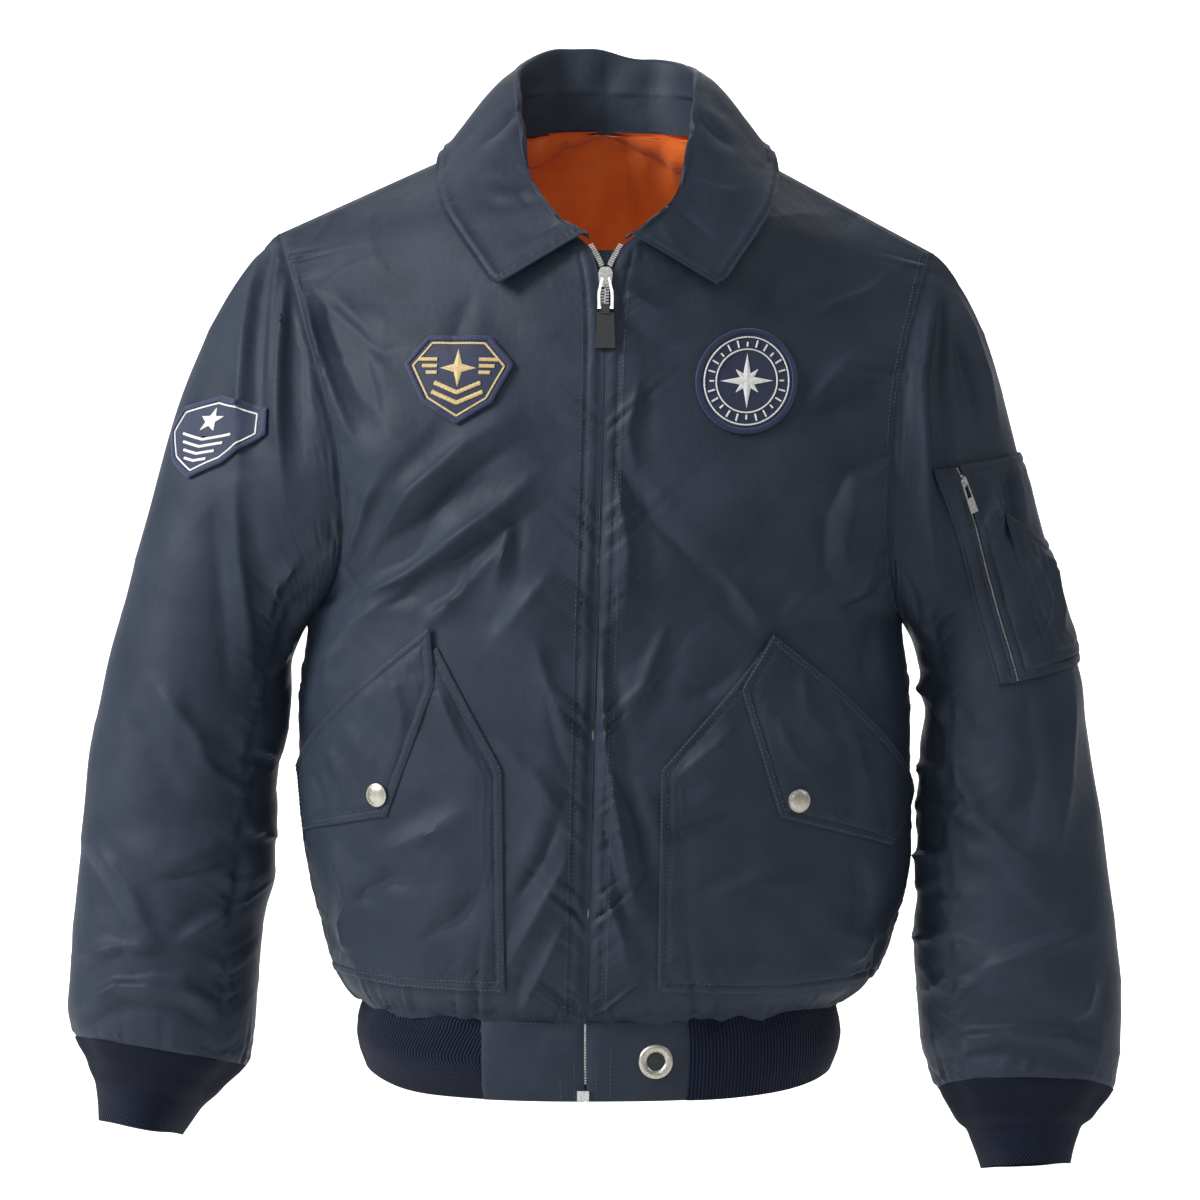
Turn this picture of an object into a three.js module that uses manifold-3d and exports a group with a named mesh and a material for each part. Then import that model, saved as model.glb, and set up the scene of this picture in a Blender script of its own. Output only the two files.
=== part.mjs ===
// Bomber jacket, filled out as if worn: woven shell, shirt collar, zip front, rib-knit hem and cuffs.
// Millimetres, +Z up. The front faces -Y and the wearer's left is +X.
// The origin lies midway between the high shoulder points, where the collar meets the shoulder seams.
import * as THREE from "three";
import Module from "manifold-3d";

const wasm = await Module();
wasm.setup();

// Thickness of the cloths, and the gaps between pieces
const SHELL = 1.8;
const KNIT = 2.4;
const COLLAR_PAD = 2.6;
const LINING = 1;
const LINING_GAP = 1.2;
const SEAM_GAP = 0.3;
const LAY_GAP = 0.75;
const POCKET_CLOTH = 1.2;
const FLAP_CLOTH = 1.8;
const FLAP_LIFT = 0.65;

// The front closure drifts a little to the wearer's right on its way down
const NECK_MIDDLE = 4;
const HEM_MIDDLE = -12;
const ZIP_TOP_Z = -95;
const HEM_SEAM_Z = -622;
const HEM_FRONT_Z = -680;
const HEM_SIDE_Z = -668;

// Row numbers in the body tables: the hem seam is 0
const ARMPIT = 6;
const NECK_CENTRE = 12;
const SHOULDER = 14;

const plus = (a, b, k = 1) => [a[0] + b[0] * k, a[1] + b[1] * k, a[2] + b[2] * k];
const less = (a, b) => plus(a, b, -1);
const mix = (a, b, t) => plus(a, less(b, a), t);
const reach = (a) => Math.hypot(a[0], a[1], a[2]);
const unit = (a) => a.map((v) => v / (reach(a) || 1));
const dot = (a, b) => a[0] * b[0] + a[1] * b[1] + a[2] * b[2];
const cross = (a, b) => [a[1] * b[2] - a[2] * b[1], a[2] * b[0] - a[0] * b[2], a[0] * b[1] - a[1] * b[0]];
const clamp = (v, low, high) => Math.min(Math.max(v, low), high);
const ease = (t) => {
  const c = clamp(t, 0, 1);
  return c * c * (3 - 2 * c);
};
const steps = (from, to, count) => [...Array(count + 1).keys()].map((i) => from + ((to - from) * i) / count);
const radians = THREE.MathUtils.degToRad;

// Cubic from p to q, leaving along tp and arriving along tq
function cubic(p, tp, q, tq, t) {
  const t2 = t * t;
  const t3 = t2 * t;
  const h = [2 * t3 - 3 * t2 + 1, t3 - 2 * t2 + t, 3 * t2 - 2 * t3, t3 - t2];
  return [0, 1, 2].map((i) => h[0] * p[i] + h[1] * tp[i] + h[2] * q[i] + h[3] * tq[i]);
}

// A table read at any row number, smoothly and with no overshoot between its rows
function table(columns, rows) {
  const names = columns.split(" ");
  const step = (c, k) => rows[clamp(k + 1, 1, rows.length - 1)][c] - rows[clamp(k, 0, rows.length - 2)][c];
  const slope = (c, k) => {
    const [a, b] = [step(c, k - 1), step(c, k)];
    return a * b > 0 ? (2 * a * b) / (a + b) : 0;
  };
  return (t) => {
    const k = clamp(Math.floor(t), 0, rows.length - 2);
    const f = t - k;
    const f2 = f * f;
    const f3 = f2 * f;
    const read = (c) =>
      (2 * f3 - 3 * f2 + 1) * rows[k][c] +
      (f3 - 2 * f2 + f) * slope(c, k) +
      (3 * f2 - 2 * f3) * rows[k + 1][c] +
      (f3 - f2) * slope(c, k + 1);
    return Object.fromEntries(names.map((name, c) => [name, read(c)]));
  };
}

// Inner ends of the body's rows: x from the closure (front) or from the centre back, y, z.
// turn is how far a row has swung round by its outer end, run and wrap its fullness at either end,
// aim how straight it heads for the armhole.
const INNER_COLUMNS = "x y z turn run wrap aim";
const FRONT_INNER = table(INNER_COLUMNS, [
  [1.3, -104, -622, 90, 1.5, 0.95, 0],
  [1.3, -115, -607, 90, 1.5, 0.95, 0],
  [1.3, -120, -588, 90, 1.5, 0.95, 0],
  [1.3, -124, -560, 90, 1.5, 0.95, 0],
  [1.3, -128, -500, 90, 1.5, 0.95, 0],
  [1.3, -130, -414, 90, 1.5, 0.95, 0],
  [1.3, -129, -341, 90, 1.45, 0.9, 0],
  [1.3, -128, -300, 70, 1.25, 0.8, 0],
  [1.3, -125, -255, 52, 1.15, 0.7, 0],
  [1.3, -121, -208, 42, 1.1, 0.7, 0],
  [1.3, -115, -162, 34, 1.1, 0.7, 0.15],
  [3, -107, -120, 27, 1.05, 0.75, 0.3],
  [9, -99, -86, 18, 1, 0.85, 0.5],
  [58, -64, -48, 9, 1, 0.95, 0.8],
  [79, 8, 0, 0, 1, 1, 1],
]);
const BACK_INNER = table(INNER_COLUMNS, [
  [0, 98, -622, 90, 1.5, 0.95, 0],
  [0, 108, -607, 90, 1.5, 0.95, 0],
  [0, 112, -588, 90, 1.5, 0.95, 0],
  [0, 115, -560, 90, 1.5, 0.95, 0],
  [0, 118, -500, 90, 1.5, 0.95, 0],
  [0, 120, -414, 90, 1.5, 0.95, 0],
  [0, 121, -345, 90, 1.45, 0.9, 0],
  [0, 121, -290, 70, 1.3, 0.8, 0],
  [0, 119, -235, 56, 1.2, 0.75, 0.05],
  [0, 115, -175, 44, 1.15, 0.7, 0.1],
  [0, 107, -118, 34, 1.1, 0.7, 0.25],
  [0, 92, -58, 24, 1.05, 0.75, 0.4],
  [0, 63, 8, 14, 1, 0.85, 0.6],
  [52, 45, 5, 6, 1, 0.95, 0.85],
  [79, 8, 0, 0, 1, 1, 1],
]);

// Outer ends of the rows: the side seam up to the armpit, then the armhole up to the shoulder tip
const OUTER_COLUMNS = "right left y rightZ leftZ";
const SIDE_SEAM = table(OUTER_COLUMNS, [
  [171, 169, 0, -621, -621],
  [184, 191, 0, -607, -607],
  [192, 203, 0, -588, -588],
  [199, 211, 0, -560, -560],
  [212, 222, 0, -500, -500],
  [216, 222, 0, -414, -414],
  [208, 215, 0, -341, -345],
]);
const ARMHOLE = {
  front: table(OUTER_COLUMNS, [
    [208, 215, 0, -341, -345],
    [190, 210, -44, -322, -334],
    [181, 203, -74, -280, -289],
    [184, 204, -80, -228, -236],
    [196, 209, -68, -178, -186],
    [208, 217, -48, -140, -150],
    [217, 226, -28, -110, -121],
    [225, 233, -10, -87, -99],
    [230, 239, 4, -70, -84],
  ]),
  back: table(OUTER_COLUMNS, [
    [208, 215, 0, -341, -345],
    [197, 209, 44, -324, -332],
    [189, 203, 76, -284, -294],
    [187, 205, 90, -232, -240],
    [193, 208, 86, -182, -190],
    [204, 215, 66, -142, -152],
    [215, 224, 42, -111, -123],
    [224, 232, 20, -88, -100],
    [230, 239, 4, -70, -84],
  ]),
};

// side is +1 for the wearer's left, -1 for the right
function closureX(z) {
  const part = clamp((z - ZIP_TOP_Z) / (HEM_FRONT_Z - ZIP_TOP_Z), 0, 1);
  return NECK_MIDDLE + (HEM_MIDDLE - NECK_MIDDLE) * part;
}

function outerEnd(face, side, r) {
  const at = r <= ARMPIT ? SIDE_SEAM(r) : ARMHOLE[face](r - ARMPIT);
  return side > 0 ? [at.left, at.y, at.leftZ] : [-at.right, at.y, at.rightZ];
}

// Point on the body: r is the row, t runs from the closure or centre back out to the side
function bodyPoint(face, side, t, r) {
  const row = (face === "front" ? FRONT_INNER : BACK_INNER)(r);
  const middle = face === "front" ? closureX(row.z) : NECK_MIDDLE;
  const start = [middle + side * row.x, row.y, row.z];
  const end = outerEnd(face, side, r);
  const chord = reach(less(end, start));
  const ahead = unit(less(end, start));
  const swing = radians(row.turn);
  const inward = face === "front" ? 1 : -1;
  const leave = unit(mix([side, 0, 0], ahead, row.aim));
  const arrive = unit(mix([side * Math.cos(swing), inward * Math.sin(swing), 0], ahead, row.aim));
  const [out, home] = [leave.map((v) => v * chord * row.run), arrive.map((v) => v * chord * row.wrap)];
  return cubic(start, out, end, home, t);
}

// Point on a body row at the arc length s from its inner end
const ROW_PARTS = 20;
function alongRow(face, side, s, r) {
  let run = 0;
  let last = bodyPoint(face, side, 0, r);
  for (let i = 1; i <= ROW_PARTS; i++) {
    const next = bodyPoint(face, side, i / ROW_PARTS, r);
    const part = reach(less(next, last));
    if (run + part >= s || i === ROW_PARTS) {
      return bodyPoint(face, side, (i - 1 + (s - run) / part) / ROW_PARTS, r);
    }
    run += part;
    last = next;
  }
}

function rowLength(face, side, r) {
  const points = steps(0, 1, ROW_PARTS).map((t) => bodyPoint(face, side, t, r));
  return points.slice(1).reduce((sum, p, i) => sum + reach(less(p, points[i])), 0);
}

// Point on the body at arc length s from the closure and at height z
function onBody(face, side, s, z) {
  let [low, high] = [0, SHOULDER];
  for (let i = 0; i < 24; i++) {
    const r = (low + high) / 2;
    if (alongRow(face, side, s, r)[2] < z) low = r;
    else high = r;
  }
  return alongRow(face, side, s, (low + high) / 2);
}

// Soft folds on the body, as ridges (+) and troughs (-) between two points seen from the front or back
const BODY_FOLDS = [
  { face: "front", from: [-150, -225], to: [-45, -335], depth: 5, width: 22 },
  { face: "front", from: [-165, -275], to: [-80, -330], depth: -4, width: 20 },
  { face: "front", from: [-30, -225], to: [-75, -130], depth: -3, width: 20 },
  { face: "front", from: [-25, -400], to: [-45, -560], depth: 4, width: 17 },
  { face: "front", from: [30, -300], to: [120, -250], depth: 4, width: 24 },
  { face: "front", from: [25, -360], to: [80, -320], depth: -4, width: 20 },
  { face: "front", from: [22, -480], to: [12, -575], depth: 4, width: 15 },
  { face: "back", from: [-150, -190], to: [-40, -300], depth: 5, width: 24 },
  { face: "back", from: [160, -200], to: [50, -290], depth: 5, width: 24 },
  { face: "back", from: [-120, -420], to: [70, -455], depth: -4, width: 22 },
  { face: "back", from: [-90, -540], to: [140, -520], depth: 5, width: 20 },
];

function foldHeight(face, p) {
  let height = 0;
  for (const fold of BODY_FOLDS) {
    if (fold.face !== face) continue;
    const [dx, dz] = [fold.to[0] - fold.from[0], fold.to[1] - fold.from[1]];
    const part = clamp(((p[0] - fold.from[0]) * dx + (p[2] - fold.from[1]) * dz) / (dx * dx + dz * dz), 0, 1);
    const off = Math.hypot(p[0] - fold.from[0] - dx * part, p[2] - fold.from[1] - dz * part);
    height += fold.depth * Math.exp(-((off / fold.width) ** 2));
  }
  return height;
}

// Sleeve rings: outer and inner silhouette points (outX is away from the body), half depth, y of the middle,
// and how far the ring's front is pitched up
const RING_COLUMNS = "outX outZ inX inZ deep y pitch";
const SLEEVE_RINGS = {
  right: table(RING_COLUMNS, [
    [330, -292, 221, -378, 66, 2, 0],
    [356, -391, 225, -424, 68, 0, 2],
    [367, -446, 230, -452, 67, -3, 4],
    [373, -515, 236, -515, 65, -8, 6],
    [378, -580, 244, -575, 63, -15, 8],
    [382, -622, 248, -632, 60, -22, 9],
    [376, -645, 254, -666, 51, -26, 10],
  ]),
  left: table(RING_COLUMNS, [
    [316, -290, 231, -388, 61, 2, 0],
    [346, -392, 233, -412, 64, 0, 2],
    [354, -449, 230, -450, 65, -3, 4],
    [364, -520, 227, -521, 66, -8, 7],
    [371, -582, 227, -580, 66, -15, 10],
    [374, -645, 232, -645, 62, -22, 14],
    [368, -684, 243, -682, 53, -27, 18],
  ]),
};
const CUFF_RINGS = {
  right: table(RING_COLUMNS, [
    [376, -645, 254, -666, 51, -26, 10],
    [365, -663, 272, -681, 44, -28, 10],
    [360, -680, 288, -697, 39, -31, 9],
    [358, -692, 295, -706, 37, -33, 9],
    [357, -704, 301, -714, 36, -34, 8],
  ]),
  left: table(RING_COLUMNS, [
    [368, -684, 243, -682, 53, -27, 18],
    [353, -700, 255, -701, 45, -30, 16],
    [343, -712, 265, -714, 40, -32, 14],
    [338, -724, 271, -727, 37, -34, 13],
    [335, -735, 275, -738, 36, -36, 12],
  ]),
};
const SLEEVE_END = 7;

// Creases round the sleeves: height, angle of the middle, how far they reach round, and depth
const SLEEVE_FOLDS = {
  right: [
    { z: -395, angle: 140, span: 50, depth: -5, width: 13, lean: 0.3 },
    { z: -470, angle: 150, span: 60, depth: -5, width: 12, lean: 0.2 },
    { z: -520, angle: 120, span: 70, depth: 4, width: 13, lean: -0.2 },
    { z: -585, angle: 90, span: 60, depth: -4, width: 13, lean: 0.25 },
    { z: -440, angle: -120, span: 60, depth: -5, width: 14, lean: 0.2 },
    { z: -550, angle: -90, span: 70, depth: 4, width: 14, lean: -0.2 },
  ],
  left: [
    { z: -430, angle: 140, span: 55, depth: -5, width: 13, lean: 0.3 },
    { z: -500, angle: 150, span: 60, depth: -5, width: 12, lean: -0.2 },
    { z: -560, angle: 130, span: 60, depth: -4, width: 12, lean: 0.2 },
    { z: -630, angle: 90, span: 70, depth: -4, width: 13, lean: 0.2 },
    { z: -450, angle: -120, span: 60, depth: -5, width: 14, lean: 0.2 },
    { z: -580, angle: -90, span: 70, depth: 4, width: 14, lean: -0.2 },
  ],
};

function ringPoint(ring, side, angle) {
  const outer = [side * ring.outX, ring.y, ring.outZ];
  const inner = [side * ring.inX, ring.y, ring.inZ];
  const middle = mix(outer, inner, 0.5);
  const pitch = radians(ring.pitch);
  const front = [0, -Math.cos(pitch) * ring.deep, Math.sin(pitch) * ring.deep];
  const a = radians(angle);
  return plus(plus(middle, less(outer, middle), Math.cos(a)), front, Math.sin(a));
}

const sideName = (side) => (side > 0 ? "left" : "right");

// Point on a sleeve: t is 0 at the armhole, 1 at the first ring, SLEEVE_END at the cuff seam.
// angle is 0 at the outer side, 90 at the front, 180 at the armpit.
function sleevePoint(side, t, angle) {
  const rings = SLEEVE_RINGS[sideName(side)];
  if (t >= 1) {
    const p = ringPoint(rings(t - 1), side, angle);
    const fade = ease(t - 1) * ease(SLEEVE_END - t);
    const away = unit(less(p, ringPoint(rings(t - 1), side, angle + 180)));
    return plus(p, away, sleeveFold(side, p, angle) * fade);
  }
  const face = angle >= 0 ? "front" : "back";
  const start = outerEnd(face, side, ARMPIT + (SHOULDER - ARMPIT) * (1 - Math.abs(angle) / 180));
  const end = ringPoint(rings(0), side, angle);
  const chord = reach(less(end, start));
  const a = radians(angle);
  const puff = [side * 0.45, -0.3 * Math.sin(a), 0.1 * Math.cos(a)];
  const leave = unit(plus(unit(less(end, start)), puff));
  const onward = unit(less(ringPoint(rings(0.2), side, angle), end));
  return cubic(start, plus([0, 0, 0], leave, chord), end, plus([0, 0, 0], onward, chord), t);
}

function sleeveFold(side, p, angle) {
  let height = 0;
  for (const fold of SLEEVE_FOLDS[sideName(side)]) {
    const round = ((angle - fold.angle + 540) % 360) - 180;
    const off = p[2] - fold.z - fold.lean * round;
    height += fold.depth * Math.exp(-((off / fold.width) ** 2) - (round / fold.span) ** 2);
  }
  return height;
}

// Point on a sleeve at an angle and a height z
function onSleeve(side, angle, z) {
  let [low, high] = [0, SLEEVE_END];
  for (let i = 0; i < 24; i++) {
    const t = (low + high) / 2;
    if (sleevePoint(side, t, angle)[2] > z) low = t;
    else high = t;
  }
  return sleevePoint(side, (low + high) / 2, angle);
}

// A sheet of cloth is points and triangles, which face its visible side
function gridSheet(rows, closed = false) {
  const wide = rows[0].length;
  const faces = [];
  for (let i = 0; i < rows.length - 1; i++) {
    for (let j = 0; j < (closed ? wide : wide - 1); j++) {
      const [a, b] = [i * wide + j, i * wide + ((j + 1) % wide)];
      faces.push([a, b, b + wide], [a, b + wide, a + wide]);
    }
  }
  return { points: rows.flat(), faces };
}

const turned = (sheet) => ({ points: sheet.points, faces: sheet.faces.map(([a, b, c]) => [a, c, b]) });
const spot = (p) => p.map((v) => Math.round(v * 50)).join();

// Several sheets as one, joined where their points meet
function welded(...sheets) {
  const points = [];
  const faces = [];
  const seen = new Map();
  for (const sheet of sheets) {
    const index = sheet.points.map((p) => {
      const key = spot(p);
      if (!seen.has(key)) seen.set(key, points.push(p) - 1);
      return seen.get(key);
    });
    for (const face of sheet.faces) {
      const f = face.map((i) => index[i]);
      if (new Set(f).size === 3) faces.push(f);
    }
  }
  return { points, faces };
}

// Normals by place, shared by every sheet that meets there, so that walls meet in a mitre
function sharedNormals(sheets) {
  const sums = new Map();
  for (const { points, faces } of sheets) {
    for (const [a, b, c] of faces) {
      const n = cross(less(points[b], points[a]), less(points[c], points[a]));
      for (const i of [a, b, c]) sums.set(spot(points[i]), plus(sums.get(spot(points[i])) ?? [0, 0, 0], n));
    }
  }
  return sums;
}

function rim(faces) {
  const edges = new Map();
  const sides = faces.flatMap(([a, b, c]) => [[a, b], [b, c], [c, a]]);
  for (const [p, q] of sides) edges.set(`${p},${q}`, [p, q]);
  return [...edges.values()].filter(([p, q]) => !edges.has(`${q},${p}`));
}

// 1 at the armpits, where four pieces meet in a tight crease: the cloth thins and parts a little there
const ARMPIT_EASE = 35;
function nearArmpit(p) {
  const far = Math.min(...[-1, 1].map((side) => reach(less(p, outerEnd("front", side, ARMPIT)))));
  return 1 - ease(far / ARMPIT_EASE);
}

// Closed wall of a sheet: the visible side stays, the hidden side lies a thickness behind it
function wall(sheet, thickness, normals = sharedNormals([sheet])) {
  const { points, faces } = sheet;
  const edge = rim(faces);
  const pull = points.map(() => [0, 0, 0]);
  for (const [p, q] of edge) {
    const n = unit(normals.get(spot(points[p])));
    const inward = unit(cross(n, less(points[q], points[p])));
    for (const i of [p, q]) pull[i] = plus(pull[i], inward);
  }
  const gapAt = (p, i) => (reach(pull[i]) > 0 ? SEAM_GAP * (0.9 + 1.6 * nearArmpit(p)) : 0);
  const front = points.map((p, i) => plus(p, unit(pull[i]), gapAt(p, i)));
  const thick = typeof thickness === "number" ? () => thickness : thickness;
  const own = sharedNormals([sheet]);
  const hidden = front.map((p, i) => {
    const key = spot(points[i]);
    const out = unit(mix(unit(normals.get(key)), unit(own.get(key)), nearArmpit(points[i])));
    return plus(p, out, -thick(points[i]));
  });
  const count = points.length;
  const triangles = [
    ...faces,
    ...faces.map(([a, b, c]) => [a + count, c + count, b + count]),
    ...edge.flatMap(([p, q]) => [[q, p, p + count], [q, p + count, q + count]]),
  ];
  return meshOf([...front, ...hidden], triangles);
}

function meshOf(points, triangles) {
  const geometry = new THREE.BufferGeometry();
  geometry.setAttribute("position", new THREE.Float32BufferAttribute(points.flat(), 3));
  geometry.setIndex(triangles.flat());
  return geometry;
}

// The sheet moved out along its own normals
function raised(sheet, height) {
  const normals = sharedNormals([sheet]);
  return { points: sheet.points.map((p) => plus(p, unit(normals.get(spot(p))), height)), faces: sheet.faces };
}

const jacket = new THREE.Group();
const LOOKS = {
  shell: { color: 0x2f3542, roughness: 0.55, metalness: 0 },
  knit: { color: 0x141a2e, roughness: 0.9, metalness: 0 },
  lining: { color: 0xb4481b, roughness: 0.5, metalness: 0 },
  patch: { color: 0x161d38, roughness: 0.85, metalness: 0 },
  metal: { color: 0xb9b6ab, roughness: 0.35, metalness: 1 },
  tab: { color: 0x5f6266, roughness: 0.6, metalness: 0 },
};
function put(name, look, geometry, place = [0, 0, 0]) {
  const mesh = new THREE.Mesh(geometry, new THREE.MeshStandardMaterial(LOOKS[look]));
  mesh.name = name;
  mesh.position.set(...place);
  jacket.add(mesh);
}

// Body panels: rows at the hem and waist, then rows that meet the armhole
const BELOW_ROWS = steps(0, ARMPIT, 13);
const ABOVE_ROWS = [6.67, 7.33, 8, 8.8, 9.6, 10.4, 11.2, NECK_CENTRE, 12.7, 13.35, SHOULDER];
const BODY_ROWS = [...BELOW_ROWS, ...ABOVE_ROWS];
const ROW_STEPS = steps(0, 1, 12);

function bodySheet(face, side, across, rows) {
  const grid = rows.map((r) =>
    across.map((t) => {
      const p = bodyPoint(face, side, t, r);
      const inner = face === "front" ? ease(t * 8) : 1;
      const fade = Math.min(ease(r / 2), ease((SHOULDER - r) / 2), ease((1 - t) * 4), inner);
      const out = unit([p[0] * 0.3, face === "front" ? -1 : 1, 0]);
      return plus(p, out, foldHeight(face, p) * fade);
    }),
  );
  const sheet = gridSheet(grid);
  return (face === "front") === (side > 0) ? sheet : turned(sheet);
}

const panel = (face, side) => bodySheet(face, side, ROW_STEPS, BODY_ROWS);
const frontSheets = { left: panel("front", 1), right: panel("front", -1) };
const backSheet = welded(panel("back", 1), panel("back", -1));

// Sleeves: a top piece and an under piece, whose columns start at the body's own armhole points
const ARM_ANGLES = [ARMPIT, ...ABOVE_ROWS].map((r) => 180 * (1 - (r - ARMPIT) / (SHOULDER - ARMPIT)));
const UNDER_SEAM = 3;
const behind = (angles) => [...angles].reverse().map((a) => -a);
const TOP_ANGLES = [...ARM_ANGLES.slice(UNDER_SEAM), ...behind(ARM_ANGLES.slice(UNDER_SEAM, -1))];
const UNDER_ANGLES = [...behind(ARM_ANGLES.slice(1, UNDER_SEAM + 1)), ...ARM_ANGLES.slice(0, UNDER_SEAM + 1)];
const ARM_ROWS = [...steps(0, 1, 5), ...steps(1, SLEEVE_END, 12).slice(1)];

function sleeveSheet(side, angles) {
  const sheet = gridSheet(ARM_ROWS.map((t) => angles.map((a) => sleevePoint(side, t, a))));
  return side > 0 ? turned(sheet) : sheet;
}

function cuffSheet(side) {
  const angles = [...ARM_ANGLES, ...behind(ARM_ANGLES.slice(1, -1))];
  const rings = CUFF_RINGS[sideName(side)];
  const rows = steps(0, 4, 5).map((t) => angles.map((a) => ringPoint(rings(t), side, a)));
  const sheet = gridSheet(rows, true);
  return side > 0 ? turned(sheet) : sheet;
}

const sleeveSheets = {};
for (const side of [-1, 1]) {
  const name = sideName(side);
  sleeveSheets[`sleeve_${name}_top`] = sleeveSheet(side, TOP_ANGLES);
  sleeveSheets[`sleeve_${name}_under`] = sleeveSheet(side, UNDER_ANGLES);
}
const cuffSheets = { cuff_left: cuffSheet(1), cuff_right: cuffSheet(-1) };
const bodySheets = [frontSheets.left, frontSheets.right, backSheet];
const seams = sharedNormals([...bodySheets, ...Object.values(sleeveSheets), ...Object.values(cuffSheets)]);

const shellAt = (p) => SHELL * (1 - 0.45 * nearArmpit(p));
put("front_left", "shell", wall(frontSheets.left, shellAt, seams));
put("front_right", "shell", wall(frontSheets.right, shellAt, seams));
put("back", "shell", wall(backSheet, shellAt, seams));
for (const [name, sheet] of Object.entries(sleeveSheets)) put(name, "shell", wall(sheet, shellAt, seams));
for (const [name, sheet] of Object.entries(cuffSheets)) put(name, "knit", wall(sheet, KNIT, seams));

// Hem: a rib between two woven blocks, which starts just under the body's lowest row
const HEM_DROP = 0.4;
const HEM_SWELL = [1, 1.018, 1.022, 1.01, 0.985];
const BLOCK_WIDE = 59;
function hemPoint(face, side, t, row) {
  const part = row / (HEM_SWELL.length - 1);
  const top = bodyPoint(face, side, t, 0);
  const bottom = HEM_SIDE_Z + (HEM_FRONT_Z - HEM_SIDE_Z) * ease(-top[1] / 100);
  const z = top[2] - HEM_DROP + (bottom - top[2] + HEM_DROP) * part;
  const middle = HEM_MIDDLE * 0.5;
  return [middle + (top[0] - middle) * HEM_SWELL[row], top[1] * HEM_SWELL[row], z];
}
const blockEnd = (side) => BLOCK_WIDE / rowLength("front", side, 0);
function hemSheet(places) {
  const rows = HEM_SWELL.map((_, row) => places.map(([face, side, t]) => hemPoint(face, side, t, row)));
  return turned(gridSheet(rows));
}
for (const side of [-1, 1]) {
  const places = steps(0.012, blockEnd(side), 4).map((t) => ["front", side, t]);
  put(`hem_block_${sideName(side)}`, "shell", wall(hemSheet(side > 0 ? places : places.reverse()), KNIT));
}
put("hem_rib", "knit", wall(hemSheet([
  ...steps(blockEnd(1), 1, 7).map((t) => ["front", 1, t]),
  ...steps(1, 0, 9).slice(1).map((t) => ["back", 1, t]),
  ...steps(0, 1, 9).slice(1).map((t) => ["back", -1, t]),
  ...steps(1, blockEnd(-1), 7).slice(1).map((t) => ["front", -1, t]),
]), KNIT));

// Collar: from the neckline up a stand, over the fold and down to the outer edge.
// Its x is from the neck's middle.
const COLLAR_ROWS = table("neckX neckY neckZ midX midY midZ foldX foldY foldZ edgeX edgeY edgeZ", [
  [0, 61.5, 8.3, 0, 61, 35, 0, 65, 65, 0, 92, -32],
  [30, 57.4, 7.8, 31, 57, 35, 32, 61, 65, 52, 84, -31],
  [56, 39.5, 6.4, 55, 40, 33, 55, 45, 61, 94, 56, -26],
  [75, 14, 4.2, 68, 17, 28, 65, 23, 53, 118, 10, -12],
  [75, -12, -8, 68, -7, 8, 64, -2, 30, 122, -16, -30],
  [68, -40, -25, 67, -39, -22, 60, -31, 0, 118, -44, -50],
  [55, -62, -42, 55, -61, -40, 54, -56, -30, 107, -66, -70],
  [40, -80, -58, 41, -80, -57, 44, -78, -50, 93, -84, -90],
  [25, -93, -70, 26, -93, -69, 30, -93, -64, 82, -98, -105],
  [12, -101, -77, 13, -102, -76, 16, -103, -73, 76, -104, -108],
]);
const COLLAR_END = 9;
const FOLD_SHARE = 0.3;
const ROLL = 26;

// Points and normals all over the body and the sleeve heads, to keep the collar clear of them
const cloth = [];
for (const sheet of bodySheets) {
  const normals = sharedNormals([sheet]);
  for (const p of sheet.points) if (p[2] > -230) cloth.push({ p, n: unit(normals.get(spot(p))) });
}
function liftedOff(p, clearance) {
  let best = null;
  for (const at of cloth) {
    const d = reach(less(at.p, p));
    if (!best || d < best.d) best = { d, at };
  }
  const height = dot(less(p, best.at.p), best.at.n);
  return height < clearance ? plus(p, best.at.n, clearance - height) : p;
}

function collarPoint(side, t, part) {
  const c = COLLAR_ROWS(t);
  const at = (name) => [NECK_MIDDLE + 1 + side * c[`${name}X`], c[`${name}Y`], c[`${name}Z`]];
  const [mid, fold, edge] = [at("mid"), at("fold"), at("edge")];
  const fall = less(edge, fold);
  const roll = ROLL * clamp(reach(less(fold, mid)) / 30, 0.25, 1);
  const over = plus([0, 0, 0], unit([fall[0], fall[1], 0]), roll);
  if (part <= FOLD_SHARE) {
    return cubic(mid, less(fold, mid), fold, plus([0, 0, 0], over, 0.4), part / FOLD_SHARE);
  }
  const f = (part - FOLD_SHARE) / (1 - FOLD_SHARE);
  const p = cubic(fold, over, edge, plus([0, 0, 0], fall, 0.8), f);
  return f > 0.3 || t > 6 ? liftedOff(p, (COLLAR_PAD + LAY_GAP + 0.6) * (t > 6 ? ease(f * 4 + 0.4) : 1)) : p;
}

const COLLAR_STEPS = steps(0, COLLAR_END, 15);
const FALL_PARTS = [0, 0.15, 0.27, 0.34, 0.42, 0.55, 0.7, 0.85, 1];
function bothSides(pointAt, places) {
  const half = (side) => {
    const sheet = gridSheet(places.map((t) => pointAt(side, t)));
    return side > 0 ? turned(sheet) : sheet;
  };
  return welded(half(1), half(-1));
}
const fallSheet = bothSides((side, t) => FALL_PARTS.map((part) => collarPoint(side, t, part)), COLLAR_STEPS);
// The pad thins towards the front, where the fold closes up
const frontness = ([x, y]) => ease((-y - 20) / 60) * ease((90 - Math.abs(x - NECK_MIDDLE)) / 30);
const padAt = (p) => COLLAR_PAD * (1 - 0.5 * frontness(p));

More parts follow.
